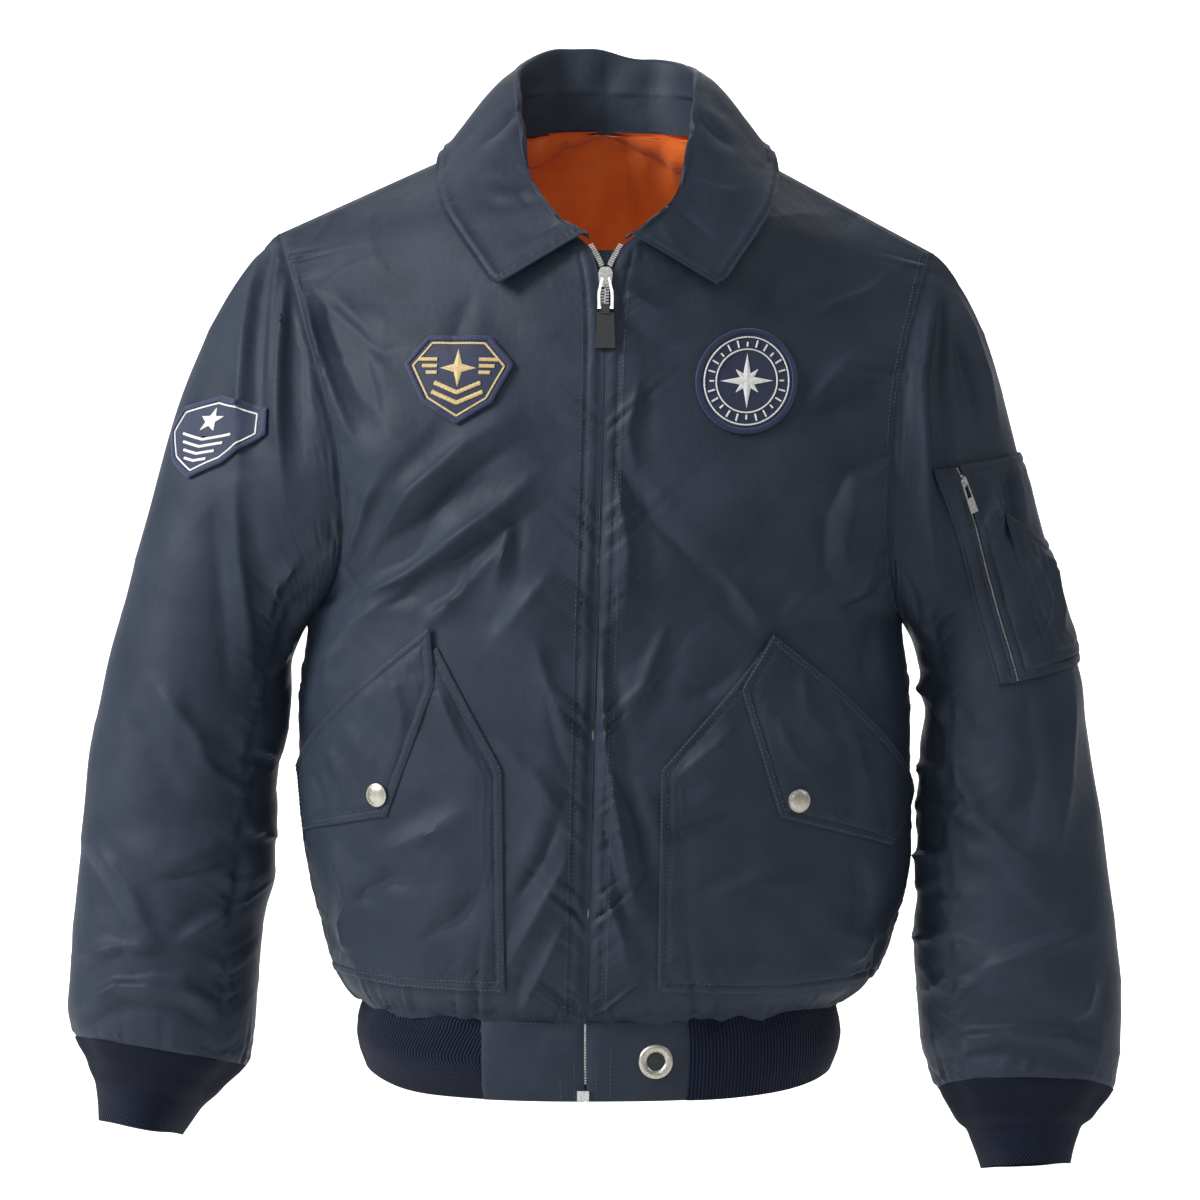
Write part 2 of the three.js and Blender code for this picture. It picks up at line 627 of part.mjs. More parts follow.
const STAND_STEPS = COLLAR_STEPS.filter((t) => t < 4.9);
const standSheet = bothSides((side, t) => {
  const c = COLLAR_ROWS(t);
  const at = (name) => [NECK_MIDDLE + 1 + side * c[`${name}X`], c[`${name}Y`], c[`${name}Z`]];
  return [0, 0.5, 1].map((part) => mix(at("neck"), at("mid"), part));
}, STAND_STEPS);
const collarSeam = sharedNormals([fallSheet, standSheet]);
put("collar_fall", "shell", wall(fallSheet, padAt, collarSeam));
put("collar_stand", "shell", wall(standSheet, SHELL, collarSeam));

// Lining inside the back, down from the neck
const LINING_STEPS = ROW_STEPS.filter((t, i) => t < 0.87 && i % 2 === 0);
const LINING_ROWS = [8, 9.6, 11.2, NECK_CENTRE, 12.7, 13.35, 13.85];
const liningHalf = (side) => bodySheet("back", side, LINING_STEPS, LINING_ROWS);
const liningBase = welded(liningHalf(1), liningHalf(-1));
put("lining_back", "lining", wall(turned(raised(liningBase, -(SHELL + LINING_GAP + LINING))), LINING));

// Front closure, from the neck down to the hem
function closureLine(z) {
  if (z < HEM_SEAM_Z) {
    const part = ((HEM_SEAM_Z - z) / (HEM_SEAM_Z - HEM_FRONT_Z)) * (HEM_SWELL.length - 1);
    const k = Math.min(Math.floor(part), HEM_SWELL.length - 2);
    const swell = HEM_SWELL[k] + (HEM_SWELL[k + 1] - HEM_SWELL[k]) * (part - k);
    return [closureX(z), FRONT_INNER(0).y * swell, z];
  }
  let [low, high] = [0, NECK_CENTRE];
  for (let i = 0; i < 24; i++) {
    const r = (low + high) / 2;
    if (FRONT_INNER(r).z < z) low = r;
    else high = r;
  }
  return [closureX(z), FRONT_INNER(low).y, z];
}
// A strip down the closure between two distances from its line, a depth behind the cloth's face
const CLOSURE_LEVELS = [
  ...HEM_SWELL.map((_, k) => HEM_FRONT_Z + ((HEM_SEAM_Z - HEM_FRONT_Z) * k) / (HEM_SWELL.length - 1)),
  ...BODY_ROWS.slice(1).map((r) => FRONT_INNER(r).z),
];
function closureStrip(from, to, depth, thickness, topZ, bottomZ) {
  const levels = [bottomZ, ...CLOSURE_LEVELS.filter((z) => z > bottomZ + 3 && z < topZ - 3), topZ];
  const rows = levels.map((z) => {
    const [x, y] = closureLine(z);
    const across = steps(from, to, Math.abs(to - from) > 30 ? 4 : 1);
    return across.map((d) => [x + d, y + depth + Math.abs(d) ** 2 / 260, z]);
  });
  return wall(gridSheet(rows), thickness);
}
const CHAIN_HALF = 2.4;
const CHAIN_DEEP = 2.7;
const TAPE_DEEP = 5.6;
put("zip_chain", "metal", closureStrip(-CHAIN_HALF, CHAIN_HALF, CHAIN_DEEP, 2, -112, -671));
put("zip_tape_left", "shell", closureStrip(0.4, 15, TAPE_DEEP, 0.7, -90, -676));
put("zip_tape_right", "shell", closureStrip(-15, -0.4, TAPE_DEEP, 0.7, -90, -676));
put("wind_flap", "shell", closureStrip(-22, 24, TAPE_DEEP + 1.4, 1.2, -84, -612));

// Zip slider, with the bail that the pull hangs on
const SLIDER = { wide: 10, high: 14, thick: 2.2, z: -103 };
const BAIL = { out: 3.4, high: 8, wide: 3, bar: 1.6 };
const LINK = { length: 21, wide: 11, wire: 1.9 };
const TAB = { length: 25, top: 11.6, bottom: 13.8, thick: 2.2 };
const PULL_LEAN = -9.5;
function solidOf(geometry) {
  const source = geometry.index ? geometry.toNonIndexed() : geometry;
  const position = source.attributes.position;
  const seen = new Map();
  const points = [];
  const triangles = [];
  for (let i = 0; i < position.count; i++) {
    const p = [position.getX(i), position.getY(i), position.getZ(i)];
    const key = p.map((v) => Math.round(v * 1e4)).join();
    if (!seen.has(key)) seen.set(key, points.push(p) - 1);
    triangles.push(seen.get(key));
  }
  const kept = [];
  for (let i = 0; i < triangles.length; i += 3) {
    const t = triangles.slice(i, i + 3);
    if (new Set(t).size === 3) kept.push(...t);
  }
  const vertProperties = new Float32Array(points.flat());
  return new wasm.Manifold(new wasm.Mesh({ numProp: 3, vertProperties, triVerts: new Uint32Array(kept) }));
}
function geometryOf(solid) {
  const { vertProperties, triVerts } = solid.getMesh();
  const geometry = new THREE.BufferGeometry();
  geometry.setAttribute("position", new THREE.BufferAttribute(new Float32Array(vertProperties), 3));
  geometry.setIndex(new THREE.BufferAttribute(new Uint32Array(triVerts), 1));
  return geometry;
}
const joined = (...geometries) => geometryOf(geometries.map(solidOf).reduce((sum, one) => sum.add(one)));

// A flat plate in the XZ plane, its face towards -Y at y = -thick
function plate(outline, thick, holes = []) {
  const shape = new THREE.Shape(outline.map(([x, z]) => new THREE.Vector2(x, z)));
  for (const hole of holes) shape.holes.push(new THREE.Path(hole.map(([x, z]) => new THREE.Vector2(x, z))));
  return new THREE.ExtrudeGeometry(shape, { depth: thick, bevelEnabled: false }).rotateX(Math.PI / 2);
}
const block = (wide, deep, high, x, y, z) => new THREE.BoxGeometry(wide, deep, high).translate(x, y, z);

const sliderAt = closureLine(SLIDER.z);
sliderAt[1] -= 0.2;
const SLIDER_OUTLINE = [[-3.2, 7], [3.2, 7], [5, 3], [4.2, -5], [2.6, -7], [-2.6, -7], [-4.2, -5], [-5, 3]];
const bailDeep = BAIL.out + BAIL.bar;
const bailY = 0.2 - SLIDER.thick - bailDeep / 2;
put("zip_slider", "metal", joined(
  plate(SLIDER_OUTLINE, SLIDER.thick),
  block(BAIL.wide, bailDeep, BAIL.bar, 0, bailY, BAIL.high / 2),
  block(BAIL.wide, bailDeep, BAIL.bar, 0, bailY, -BAIL.high / 2),
  block(BAIL.wide, BAIL.bar, BAIL.high + BAIL.bar, 0, -SLIDER.thick - BAIL.out - BAIL.bar / 2, 0),
), sliderAt);

// The pull's wire link turns on the bail, and its tab turns on the link's lower bar
const pivotZ = SLIDER.z - BAIL.high / 2 + BAIL.bar / 2 + 1.6;
const pivot = [sliderAt[0], sliderAt[1] - SLIDER.thick - BAIL.out / 2, pivotZ];
const linkHalf = LINK.wide / 2;
const linkFoot = 1.9 - LINK.length;
const linkFrame = plate(
  [[-3, 1], [3, 1], [linkHalf, -9], [linkHalf, -LINK.length], [-linkHalf, -LINK.length], [-linkHalf, -9]],
  LINK.wire,
  [[[-1.9, -0.9], [-3.6, -9.6], [-3.6, linkFoot], [3.6, linkFoot], [3.6, -9.6], [1.9, -0.9]]],
).translate(0, LINK.wire / 2, 0);
const leaning = (geometry) => geometry.rotateX(radians(PULL_LEAN));
put("zip_link", "metal", leaning(linkFrame), pivot);

const linkReach = LINK.length - LINK.wire / 2;
const lean = radians(-PULL_LEAN);
const tabPivot = plus(pivot, [0, -Math.sin(lean), -Math.cos(lean)], linkReach);
const tabTop = -3.4;
const tabFoot = tabTop - TAB.length;
const tabPlate = plate(
  [[-TAB.top / 2, tabTop], [TAB.top / 2, tabTop], [TAB.bottom / 2, tabFoot], [-TAB.bottom / 2, tabFoot]],
  TAB.thick,
).translate(0, TAB.thick / 2, 0);
const tabLoop = plate(
  [[-3, 2.3], [3, 2.3], [3, tabTop - 1], [-3, tabTop - 1]], 4.6,
).translate(0, 2.3, 0);
const tabHole = block(8, 2.8, 2.8, 0, 0, 0);
const tabSolid = solidOf(tabPlate).add(solidOf(tabLoop)).subtract(solidOf(tabHole));
put("zip_tab", "tab", leaning(geometryOf(tabSolid)), tabPivot);

const zipFoot = plus(closureLine(-675.5), [0, -0.9, 0]);
const boxPlate = plate([[-4.2, 3.6], [4.2, 3.6], [4.2, -3.6], [-4.2, -3.6]], 1.8);
put("zip_box", "metal", boxPlate.translate(...zipFoot));

// A region of a panel between four edges, each a list of places, as a sheet
function region(placeOnCloth, edges, across, up) {
  const along = (points, f) => {
    const x = clamp(f, 0, 1) * (points.length - 1);
    const k = Math.min(Math.floor(x), points.length - 2);
    return mix([...points[k], 0], [...points[k + 1], 0], x - k);
  };
  const { bottom, top, inner, outer } = edges;
  const rows = steps(0, 1, up).map((v) =>
    steps(0, 1, across).map((u) => {
      const sides = mix(along(inner, v), along(outer, v), u);
      const ends = mix(along(bottom, u), along(top, u), v);
      const straight = (edge) => mix([...edge[0], 0], [...edge.at(-1), 0], u);
      const at = less(plus(sides, ends), mix(straight(bottom), straight(top), v));
      return placeOnCloth(at[0], at[1]);
    }),
  );
  return gridSheet(rows);
}
function layOn(name, look, sheet, side, thickness, under = 0) {
  const facing = side > 0 ? sheet : turned(sheet);
  put(name, look, wall(raised(facing, LAY_GAP + under + thickness), thickness));
}

// Lower pockets and their flaps, as distances round from the closure and heights
const POCKETS = {
  right: {
    bottom: [[55, -601], [140, -600], [226, -596]],
    top: [[110, -360], [256, -464]],
    inner: [[55, -601], [61, -444], [110, -360]],
    outer: [[226, -596], [246, -560], [256, -464]],
  },
  left: {
    bottom: [[48, -600], [140, -604], [250, -600]],
    top: [[116, -362], [277, -482]],
    inner: [[48, -600], [46, -444], [116, -362]],
    outer: [[250, -600], [270, -560], [277, -482]],
  },
};
const FLAPS = {
  right: {
    bottom: [[144, -479], [237, -496]],
    top: [[115, -346], [250, -450]],
    inner: [[144, -479], [110, -387], [115, -346]],
    outer: [[237, -496], [250, -450]],
  },
  left: {
    bottom: [[131, -479], [227, -504]],
    top: [[123, -351], [275, -468]],
    inner: [[131, -479], [100, -388], [123, -351]],
    outer: [[227, -504], [275, -468]],
  },
};
const SNAP_PLACES = { right: [151, -464], left: [144, -467] };
const SNAP_RADIUS = 8.6;

// A turned disc whose face points along a normal
function disc(profile, at, normal) {
  const outward = new THREE.Vector3(...unit(normal));
  const turn = new THREE.Quaternion().setFromUnitVectors(new THREE.Vector3(0, 1, 0), outward);
  return new THREE.LatheGeometry(profile.map(([r, h]) => new THREE.Vector2(r, h)), 24)
    .applyQuaternion(turn)
    .translate(...at);
}
function normalOn(placeOnCloth, a, b, side, stepA = 2) {
  const du = less(placeOnCloth(a + stepA, b), placeOnCloth(a - stepA, b));
  const dv = less(placeOnCloth(a, b + 2), placeOnCloth(a, b - 2));
  return unit(side > 0 ? cross(du, dv) : cross(dv, du));
}
const SNAP_PROFILE = [
  [0, 0], [SNAP_RADIUS - 0.8, 0], [SNAP_RADIUS, 0.7], [SNAP_RADIUS - 0.8, 1.5], [5, 2.1], [0, 2.3],
];

for (const side of [-1, 1]) {
  const name = sideName(side);
  const place = (s, z) => onBody("front", side, s, z);
  layOn(`pocket_${name}`, "shell", region(place, POCKETS[name], 13, 9), side, POCKET_CLOTH);
  const flapSheet = region(place, FLAPS[name], 12, 5);
  layOn(`flap_${name}`, "shell", flapSheet, side, FLAP_CLOTH, POCKET_CLOTH + FLAP_LIFT);
  const [s, z] = SNAP_PLACES[name];
  const normal = normalOn(place, s, z, side);
  const height = LAY_GAP + POCKET_CLOTH + FLAP_LIFT + FLAP_CLOTH + 0.5;
  put(`snap_${name}`, "metal", disc(SNAP_PROFILE, plus(place(s, z), normal, height), normal));
}

// Eyelet on the left hem block, closed by a plug that lies deeper than its rim
const EYELET_RADIUS = 12.2;
const EYELET_HOLE = 6.5;
const EYELET_AT = { t: 0.16, row: 2 };
const eyeletPoint = hemPoint("front", 1, EYELET_AT.t, EYELET_AT.row);
const eyeletSide = less(hemPoint("front", 1, EYELET_AT.t + 0.02, 2), eyeletPoint);
const eyeletNormal = unit([eyeletSide[1], -eyeletSide[0], 0]);
const EYELET_PROFILE = [
  [0, 0], [EYELET_RADIUS - 0.6, 0], [EYELET_RADIUS, 0.6], [EYELET_RADIUS - 2.4, 2],
  [EYELET_HOLE + 0.6, 1.8], [EYELET_HOLE, 0.9], [0, 0.9],
];
put("eyelet", "metal", disc(EYELET_PROFILE, plus(eyeletPoint, eyeletNormal, 0.5), eyeletNormal));

// Left sleeve: a pocket with a pen pocket on it and a zip along its front edge. Places are angle and height.
const onLeftSleeve = (angle, z) => onSleeve(1, angle, z);
const SLEEVE_POCKET = {
  bottom: [[81, -387], [40, -380], [-22, -372]],
  top: [[81, -235], [40, -230], [-22, -226]],
  inner: [[81, -387], [81, -235]],
  outer: [[-22, -372], [-22, -226]],
};
const PEN_POCKET = {
  bottom: [[58, -376], [-14, -366]],
  top: [[58, -268], [22, -292], [-14, -290]],
  inner: [[58, -376], [58, -268]],
  outer: [[-14, -366], [-14, -290]],
};
const FACING = {
  bottom: [[97, -389], [83, -388]],
  top: [[97, -238], [83, -236]],
  inner: [[97, -389], [97, -238]],
  outer: [[83, -388], [83, -236]],
};
layOn("sleeve_pocket", "shell", region(onLeftSleeve, SLEEVE_POCKET, 10, 9), 1, POCKET_CLOTH);
layOn("sleeve_zip_facing", "shell", region(onLeftSleeve, FACING, 2, 9), 1, POCKET_CLOTH);
const penSheet = region(onLeftSleeve, PEN_POCKET, 7, 7);
layOn("pen_pocket", "shell", penSheet, 1, POCKET_CLOTH, POCKET_CLOTH + FLAP_LIFT);

// Patches: shield on the right chest, round on the left chest, curved band on the right sleeve
function patchSheet(placeOnCloth, centre, outline, rings, parts, perUnit = 1) {
  const rows = steps(0, 1, rings).map((f) =>
    steps(0, 360, parts).slice(0, -1).map((a) => {
      const [x, z] = outline(radians(a));
      return placeOnCloth(centre[0] + x * f * perUnit, centre[1] + z * f);
    }),
  );
  return turned(welded(gridSheet(rows, true)));
}
const SHIELD = [[38, 10], [22, 28], [-22, 28], [-38, 10], [-24, -16], [0, -30], [24, -16]];
function polygonAt(corners, a) {
  const ray = [Math.cos(a), Math.sin(a)];
  for (let i = 0; i < corners.length; i++) {
    const [p, q] = [corners[i], corners[(i + 1) % corners.length]];
    const d = [q[0] - p[0], q[1] - p[1]];
    const across = ray[0] * d[1] - ray[1] * d[0];
    const f = (p[0] * d[1] - p[1] * d[0]) / across;
    const g = (p[0] * ray[1] - p[1] * ray[0]) / across;
    if (f > 0 && g >= -1e-6 && g <= 1 + 1e-6) return [ray[0] * f, ray[1] * f];
  }
  return [0, 0];
}
const PATCH_CLOTH = 1.6;
const ROUND_PATCH = 35;
const DEGREES_PER_MM = 0.9;
const SLEEVE_PATCH = [[36, 4], [30, 20], [0, 28], [-30, 20], [-36, 4], [-20, -16], [0, -27], [20, -16]];
const chest = (side) => (s, z) => onBody("front", side, s, z);
const rightArm = (angle, z) => onSleeve(-1, angle, z);
const ring = (a) => [ROUND_PATCH * Math.cos(a), ROUND_PATCH * Math.sin(a)];
const shieldSheet = patchSheet(chest(-1), [100, -174], (a) => polygonAt(SHIELD, a), 3, 28);
const roundSheet = patchSheet(chest(1), [99, -176], ring, 3, 28);
const bandSheet = patchSheet(rightArm, [52, -216], (a) => polygonAt(SLEEVE_PATCH, a), 3, 26, DEGREES_PER_MM);
layOn("patch_chest_right", "patch", shieldSheet, -1, PATCH_CLOTH);
layOn("patch_chest_left", "patch", roundSheet, 1, PATCH_CLOTH);
layOn("patch_sleeve_right", "patch", bandSheet, 1, PATCH_CLOTH);

// Sleeve pocket zip: a slider at the top of its line, and a pull that hangs from it
const sleeveZip = onLeftSleeve(82, -246);
const sleeveOut = normalOn(onLeftSleeve, 82, -246, -1);
const zipDown = unit(less(onLeftSleeve(82, -262), sleeveZip));
const zipFrame = new THREE.Matrix4().makeBasis(
  new THREE.Vector3(...cross(sleeveOut, zipDown)),
  new THREE.Vector3(...sleeveOut).multiplyScalar(-1),
  new THREE.Vector3(...zipDown).multiplyScalar(-1),
);
const zipRise = LAY_GAP + POCKET_CLOTH + 0.6;
const riseTo = (height) => plus(sleeveZip, sleeveOut, height);
const atSleeveZip = (geometry, height) => geometry.applyMatrix4(zipFrame).translate(...riseTo(height));
put("sleeve_zip_slider", "metal", atSleeveZip(joined(
  plate([[-2.6, 4.5], [2.6, 4.5], [3.2, 0], [2.2, -4.5], [-2.2, -4.5], [-3.2, 0]], 1.6),
  block(2, 3.6, 1.2, 0, -3, 2.6),
  block(2, 3.6, 1.2, 0, -3, -1.4),
  block(2, 1.2, 5.2, 0, -4.4, 0.6),
), zipRise));
const PULL_OUTLINE = [[-2.4, 1], [2.4, 1], [3, -16], [3.2, -24], [-3.2, -24], [-3, -16]];
const PULL_HOLE = [[-1.5, -0.4], [-1.9, -13], [1.9, -13], [1.5, -0.4]];
const pullFrame = plate(PULL_OUTLINE, 1.2, [PULL_HOLE]).translate(0, 0.6, 0);
put("sleeve_zip_pull", "metal", atSleeveZip(pullFrame.translate(0, -2.7, 0.2), zipRise));

export default jacket;
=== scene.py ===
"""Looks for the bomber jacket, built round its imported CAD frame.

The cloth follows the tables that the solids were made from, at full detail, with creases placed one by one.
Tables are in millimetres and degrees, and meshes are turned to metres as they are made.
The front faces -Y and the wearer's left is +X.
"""
import math

import bpy
import numpy as np
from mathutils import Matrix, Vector
from mathutils.kdtree import KDTree


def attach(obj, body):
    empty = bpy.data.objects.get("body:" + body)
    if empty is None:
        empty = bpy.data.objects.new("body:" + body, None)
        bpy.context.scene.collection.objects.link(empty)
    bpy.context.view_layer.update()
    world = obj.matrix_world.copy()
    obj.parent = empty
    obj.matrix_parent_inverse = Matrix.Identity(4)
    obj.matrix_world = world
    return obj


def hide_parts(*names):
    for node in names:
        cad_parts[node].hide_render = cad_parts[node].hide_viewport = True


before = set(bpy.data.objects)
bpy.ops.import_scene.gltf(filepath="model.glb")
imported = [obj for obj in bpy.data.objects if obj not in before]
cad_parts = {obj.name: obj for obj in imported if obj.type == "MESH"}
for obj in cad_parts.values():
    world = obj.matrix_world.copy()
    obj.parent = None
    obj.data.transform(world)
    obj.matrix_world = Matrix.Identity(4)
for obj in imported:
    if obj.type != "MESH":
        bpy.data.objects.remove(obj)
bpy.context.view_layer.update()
MM = 0.001
BODY = "jacket"

# The photograph's camera: 1200 pixels square, its lens in pixels, raised a little above the jacket's middle
PHOTO_MIDDLE = 600
PHOTO_LENS = 4444
CAMERA = np.array([0, -3195.6, -165.5])
TILT = math.radians(3)

# Frame of the garment, as in the solids
NECK_MIDDLE = 4
HEM_MIDDLE = -12
ZIP_TOP_Z = -95
HEM_SEAM_Z = -622
HEM_FRONT_Z = -680
HEM_SIDE_Z = -668
ARMPIT = 6
NECK_CENTRE = 12
SHOULDER = 14
SLEEVE_END = 7

# Thickness of the cloths and the heights that they lie at
SHELL = 2.0
KNIT = 2.2
LAY_GAP = 0.75
POCKET_CLOTH = 1.2
FLAP_CLOTH = 1.8
FLAP_LIFT = 0.65
PATCH_CLOTH = 1.6
COLLAR_PAD = 2.6


def unit(v):
    return v / np.maximum(np.linalg.norm(v, axis=-1, keepdims=True), 1e-9)


def ease(x):
    x = np.clip(x, 0, 1)
    return x * x * (3 - 2 * x)


def bell(x):
    return np.exp(-(x**2))


def point(x, y, z):
    return np.stack(np.broadcast_arrays(x, y, z), axis=-1).astype(float)


def mix(a, b, t):
    return a + (b - a) * t


def cubic(p, leave, q, arrive, t):
    t = np.asarray(t, float)[..., None]
    start = 2 * t**3 - 3 * t**2 + 1
    return start * p + (t**3 - 2 * t**2 + t) * leave + (1 - start) * q + (t**3 - t**2) * arrive


def table(columns, *rows):
    """A table read at any row number, smoothly and with no overshoot between its rows."""
    names = columns.split()
    rows = np.array(rows, float)
    rise = np.diff(rows, axis=0)
    before, after = np.vstack([rise[:1], rise]), np.vstack([rise, rise[-1:]])
    same = before * after > 0
    slope = np.where(same, 2 * before * after / np.where(same, before + after, 1), 0)

    def read(t):
        t = np.asarray(t, float)
        k = np.clip(np.floor(t).astype(int), 0, len(rows) - 2)
        values = cubic(rows[k], slope[k], rows[k + 1], slope[k + 1], t - k)
        return {name: values[..., c] for c, name in enumerate(names)}

    return read


INNER_COLUMNS = "x y z turn run wrap aim"
BODY_INNER = {
    "front": table(
        INNER_COLUMNS,
        [1.3, -104, -622, 90, 1.5, 0.95, 0],
        [1.3, -115, -607, 90, 1.5, 0.95, 0],
        [1.3, -120, -588, 90, 1.5, 0.95, 0],
        [1.3, -124, -560, 90, 1.5, 0.95, 0],
        [1.3, -128, -500, 90, 1.5, 0.95, 0],
        [1.3, -130, -414, 90, 1.5, 0.95, 0],
        [1.3, -129, -341, 90, 1.45, 0.9, 0],
        [1.3, -128, -300, 70, 1.25, 0.8, 0],
        [1.3, -125, -255, 52, 1.15, 0.7, 0],
        [1.3, -121, -208, 42, 1.1, 0.7, 0],
        [1.3, -115, -162, 34, 1.1, 0.7, 0.15],
        [3, -107, -120, 27, 1.05, 0.75, 0.3],
        [9, -99, -86, 18, 1, 0.85, 0.5],
        [58, -64, -48, 9, 1, 0.95, 0.8],
        [79, 8, 0, 0, 1, 1, 1],
    ),
    "back": table(
        INNER_COLUMNS,
        [0, 98, -622, 90, 1.5, 0.95, 0],
        [0, 108, -607, 90, 1.5, 0.95, 0],
        [0, 112, -588, 90, 1.5, 0.95, 0],
        [0, 115, -560, 90, 1.5, 0.95, 0],
        [0, 118, -500, 90, 1.5, 0.95, 0],
        [0, 120, -414, 90, 1.5, 0.95, 0],
        [0, 121, -345, 90, 1.45, 0.9, 0],
        [0, 121, -290, 70, 1.3, 0.8, 0],
        [0, 119, -235, 56, 1.2, 0.75, 0.05],
        [0, 115, -175, 44, 1.15, 0.7, 0.1],
        [0, 107, -118, 34, 1.1, 0.7, 0.25],
        [0, 92, -58, 24, 1.05, 0.75, 0.4],
        [0, 63, 8, 14, 1, 0.85, 0.6],
        [52, 45, 5, 6, 1, 0.95, 0.85],
        [79, 8, 0, 0, 1, 1, 1],
    ),
}
OUTER_COLUMNS = "right left y rightZ leftZ"
SIDE_SEAM = table(
    OUTER_COLUMNS,
    [171, 169, 0, -621, -621],
    [184, 191, 0, -607, -607],
    [192, 203, 0, -588, -588],
    [199, 211, 0, -560, -560],
    [212, 222, 0, -500, -500],
    [216, 222, 0, -414, -414],
    [208, 215, 0, -341, -345],
)
ARMHOLE = {
    "front": table(
        OUTER_COLUMNS,
        [208, 215, 0, -341, -345],
        [190, 210, -44, -322, -334],
        [181, 203, -74, -280, -289],
        [184, 204, -80, -228, -236],
        [196, 209, -68, -178, -186],
        [208, 217, -48, -140, -150],
        [217, 226, -28, -110, -121],
        [225, 233, -10, -87, -99],
        [230, 239, 4, -70, -84],
    ),
    "back": table(
        OUTER_COLUMNS,
        [208, 215, 0, -341, -345],
        [197, 209, 44, -324, -332],
        [189, 203, 76, -284, -294],
        [187, 205, 90, -232, -240],
        [193, 208, 86, -182, -190],
        [204, 215, 66, -142, -152],
        [215, 224, 42, -111, -123],
        [224, 232, 20, -88, -100],
        [230, 239, 4, -70, -84],
    ),
}
RING_COLUMNS = "outX outZ inX inZ deep y pitch"
SLEEVE_RINGS = {
    "right": table(
        RING_COLUMNS,
        [330, -292, 221, -378, 66, 2, 0],
        [356, -391, 225, -424, 68, 0, 2],
        [367, -446, 230, -452, 67, -3, 4],
        [373, -515, 236, -515, 65, -8, 6],
        [378, -580, 244, -575, 63, -15, 8],
        [382, -622, 248, -632, 60, -22, 9],
        [376, -645, 254, -666, 51, -26, 10],
    ),
    "left": table(
        RING_COLUMNS,
        [316, -290, 231, -388, 61, 2, 0],
        [346, -392, 233, -412, 64, 0, 2],
        [354, -449, 230, -450, 65, -3, 4],
        [364, -520, 227, -521, 66, -8, 7],
        [371, -582, 227, -580, 66, -15, 10],
        [374, -645, 232, -645, 62, -22, 14],
        [368, -684, 243, -682, 53, -27, 18],
    ),
}
CUFF_RINGS = {
    "right": table(
        RING_COLUMNS,
        [376, -645, 254, -666, 51, -26, 10],
        [365, -663, 272, -681, 44, -28, 10],
        [360, -680, 288, -697, 39, -31, 9],
        [358, -692, 295, -706, 37, -33, 9],
        [357, -704, 301, -714, 36, -34, 8],
    ),
    "left": table(
        RING_COLUMNS,
        [368, -684, 243, -682, 53, -27, 18],
        [353, -700, 255, -701, 45, -30, 16],
        [343, -712, 265, -714, 40, -32, 14],
        [338, -724, 271, -727, 37, -34, 13],
        [335, -735, 275, -738, 36, -36, 12],
    ),
}
COLLAR_ROWS = table(
    "neckX neckY neckZ midX midY midZ foldX foldY foldZ edgeX edgeY edgeZ",
    [0, 61.5, 8.3, 0, 61, 35, 0, 65, 65, 0, 92, -32],
    [30, 57.4, 7.8, 31, 57, 35, 32, 61, 65, 52, 84, -31],
    [56, 39.5, 6.4, 55, 40, 33, 55, 45, 61, 94, 56, -26],
    [75, 14, 4.2, 68, 17, 28, 65, 23, 53, 118, 10, -12],
    [75, -12, -8, 68, -7, 8, 64, -2, 30, 122, -16, -30],
    [68, -40, -25, 67, -39, -22, 60, -31, 0, 118, -44, -50],
    [55, -62, -42, 55, -61, -40, 54, -56, -30, 107, -66, -70],
    [40, -80, -58, 41, -80, -57, 44, -78, -50, 93, -84, -90],
    [25, -93, -70, 26, -93, -69, 30, -93, -64, 82, -98, -105],
    [12, -101, -77, 13, -102, -76, 16, -103, -73, 76, -104, -108],
)


def side_name(side):
    return "left" if side > 0 else "right"


def closure_x(z):
    return NECK_MIDDLE + (HEM_MIDDLE - NECK_MIDDLE) * np.clip((z - ZIP_TOP_Z) / (HEM_FRONT_Z - ZIP_TOP_Z), 0, 1)


def outer_end(face, side, r):
    low, high = SIDE_SEAM(np.minimum(r, ARMPIT)), ARMHOLE[face](np.maximum(r - ARMPIT, 0))
    name = side_name(side)

    def pick(column):
        return np.where(r <= ARMPIT, low[column], high[column])

    return point(side * pick(name), pick("y"), pick(name + "Z"))


def body_point(face, side, t, r):
    """r is the row, and t runs from the closure or centre back out to the side."""
    t, r = np.broadcast_arrays(np.asarray(t, float), np.asarray(r, float))
    row = BODY_INNER[face](r)
    middle = closure_x(row["z"]) if face == "front" else NECK_MIDDLE
    start = point(middle + side * row["x"], row["y"], row["z"])
    end = outer_end(face, side, r)
    chord = np.linalg.norm(end - start, axis=-1, keepdims=True)
    ahead = unit(end - start)
    swing = np.radians(row["turn"])
    inward = 1 if face == "front" else -1
    aim = row["aim"][..., None]
    leave = unit(mix(point(side, 0, 0), ahead, aim))
    arrive = unit(mix(point(side * np.cos(swing), inward * np.sin(swing), 0), ahead, aim))
    return cubic(start, leave * chord * row["run"][..., None], end, arrive * chord * row["wrap"][..., None], t)


def ring_point(rings, side, t, angle):
    ring = rings(t)
    outer = point(side * ring["outX"], ring["y"], ring["outZ"])
    inner = point(side * ring["inX"], ring["y"], ring["inZ"])
    middle = (outer + inner) / 2
    pitch = np.radians(ring["pitch"])
    front = point(0, -np.cos(pitch), np.sin(pitch)) * ring["deep"][..., None]
    turn = np.radians(angle)[..., None]
    return middle + (outer - middle) * np.cos(turn) + front * np.sin(turn)


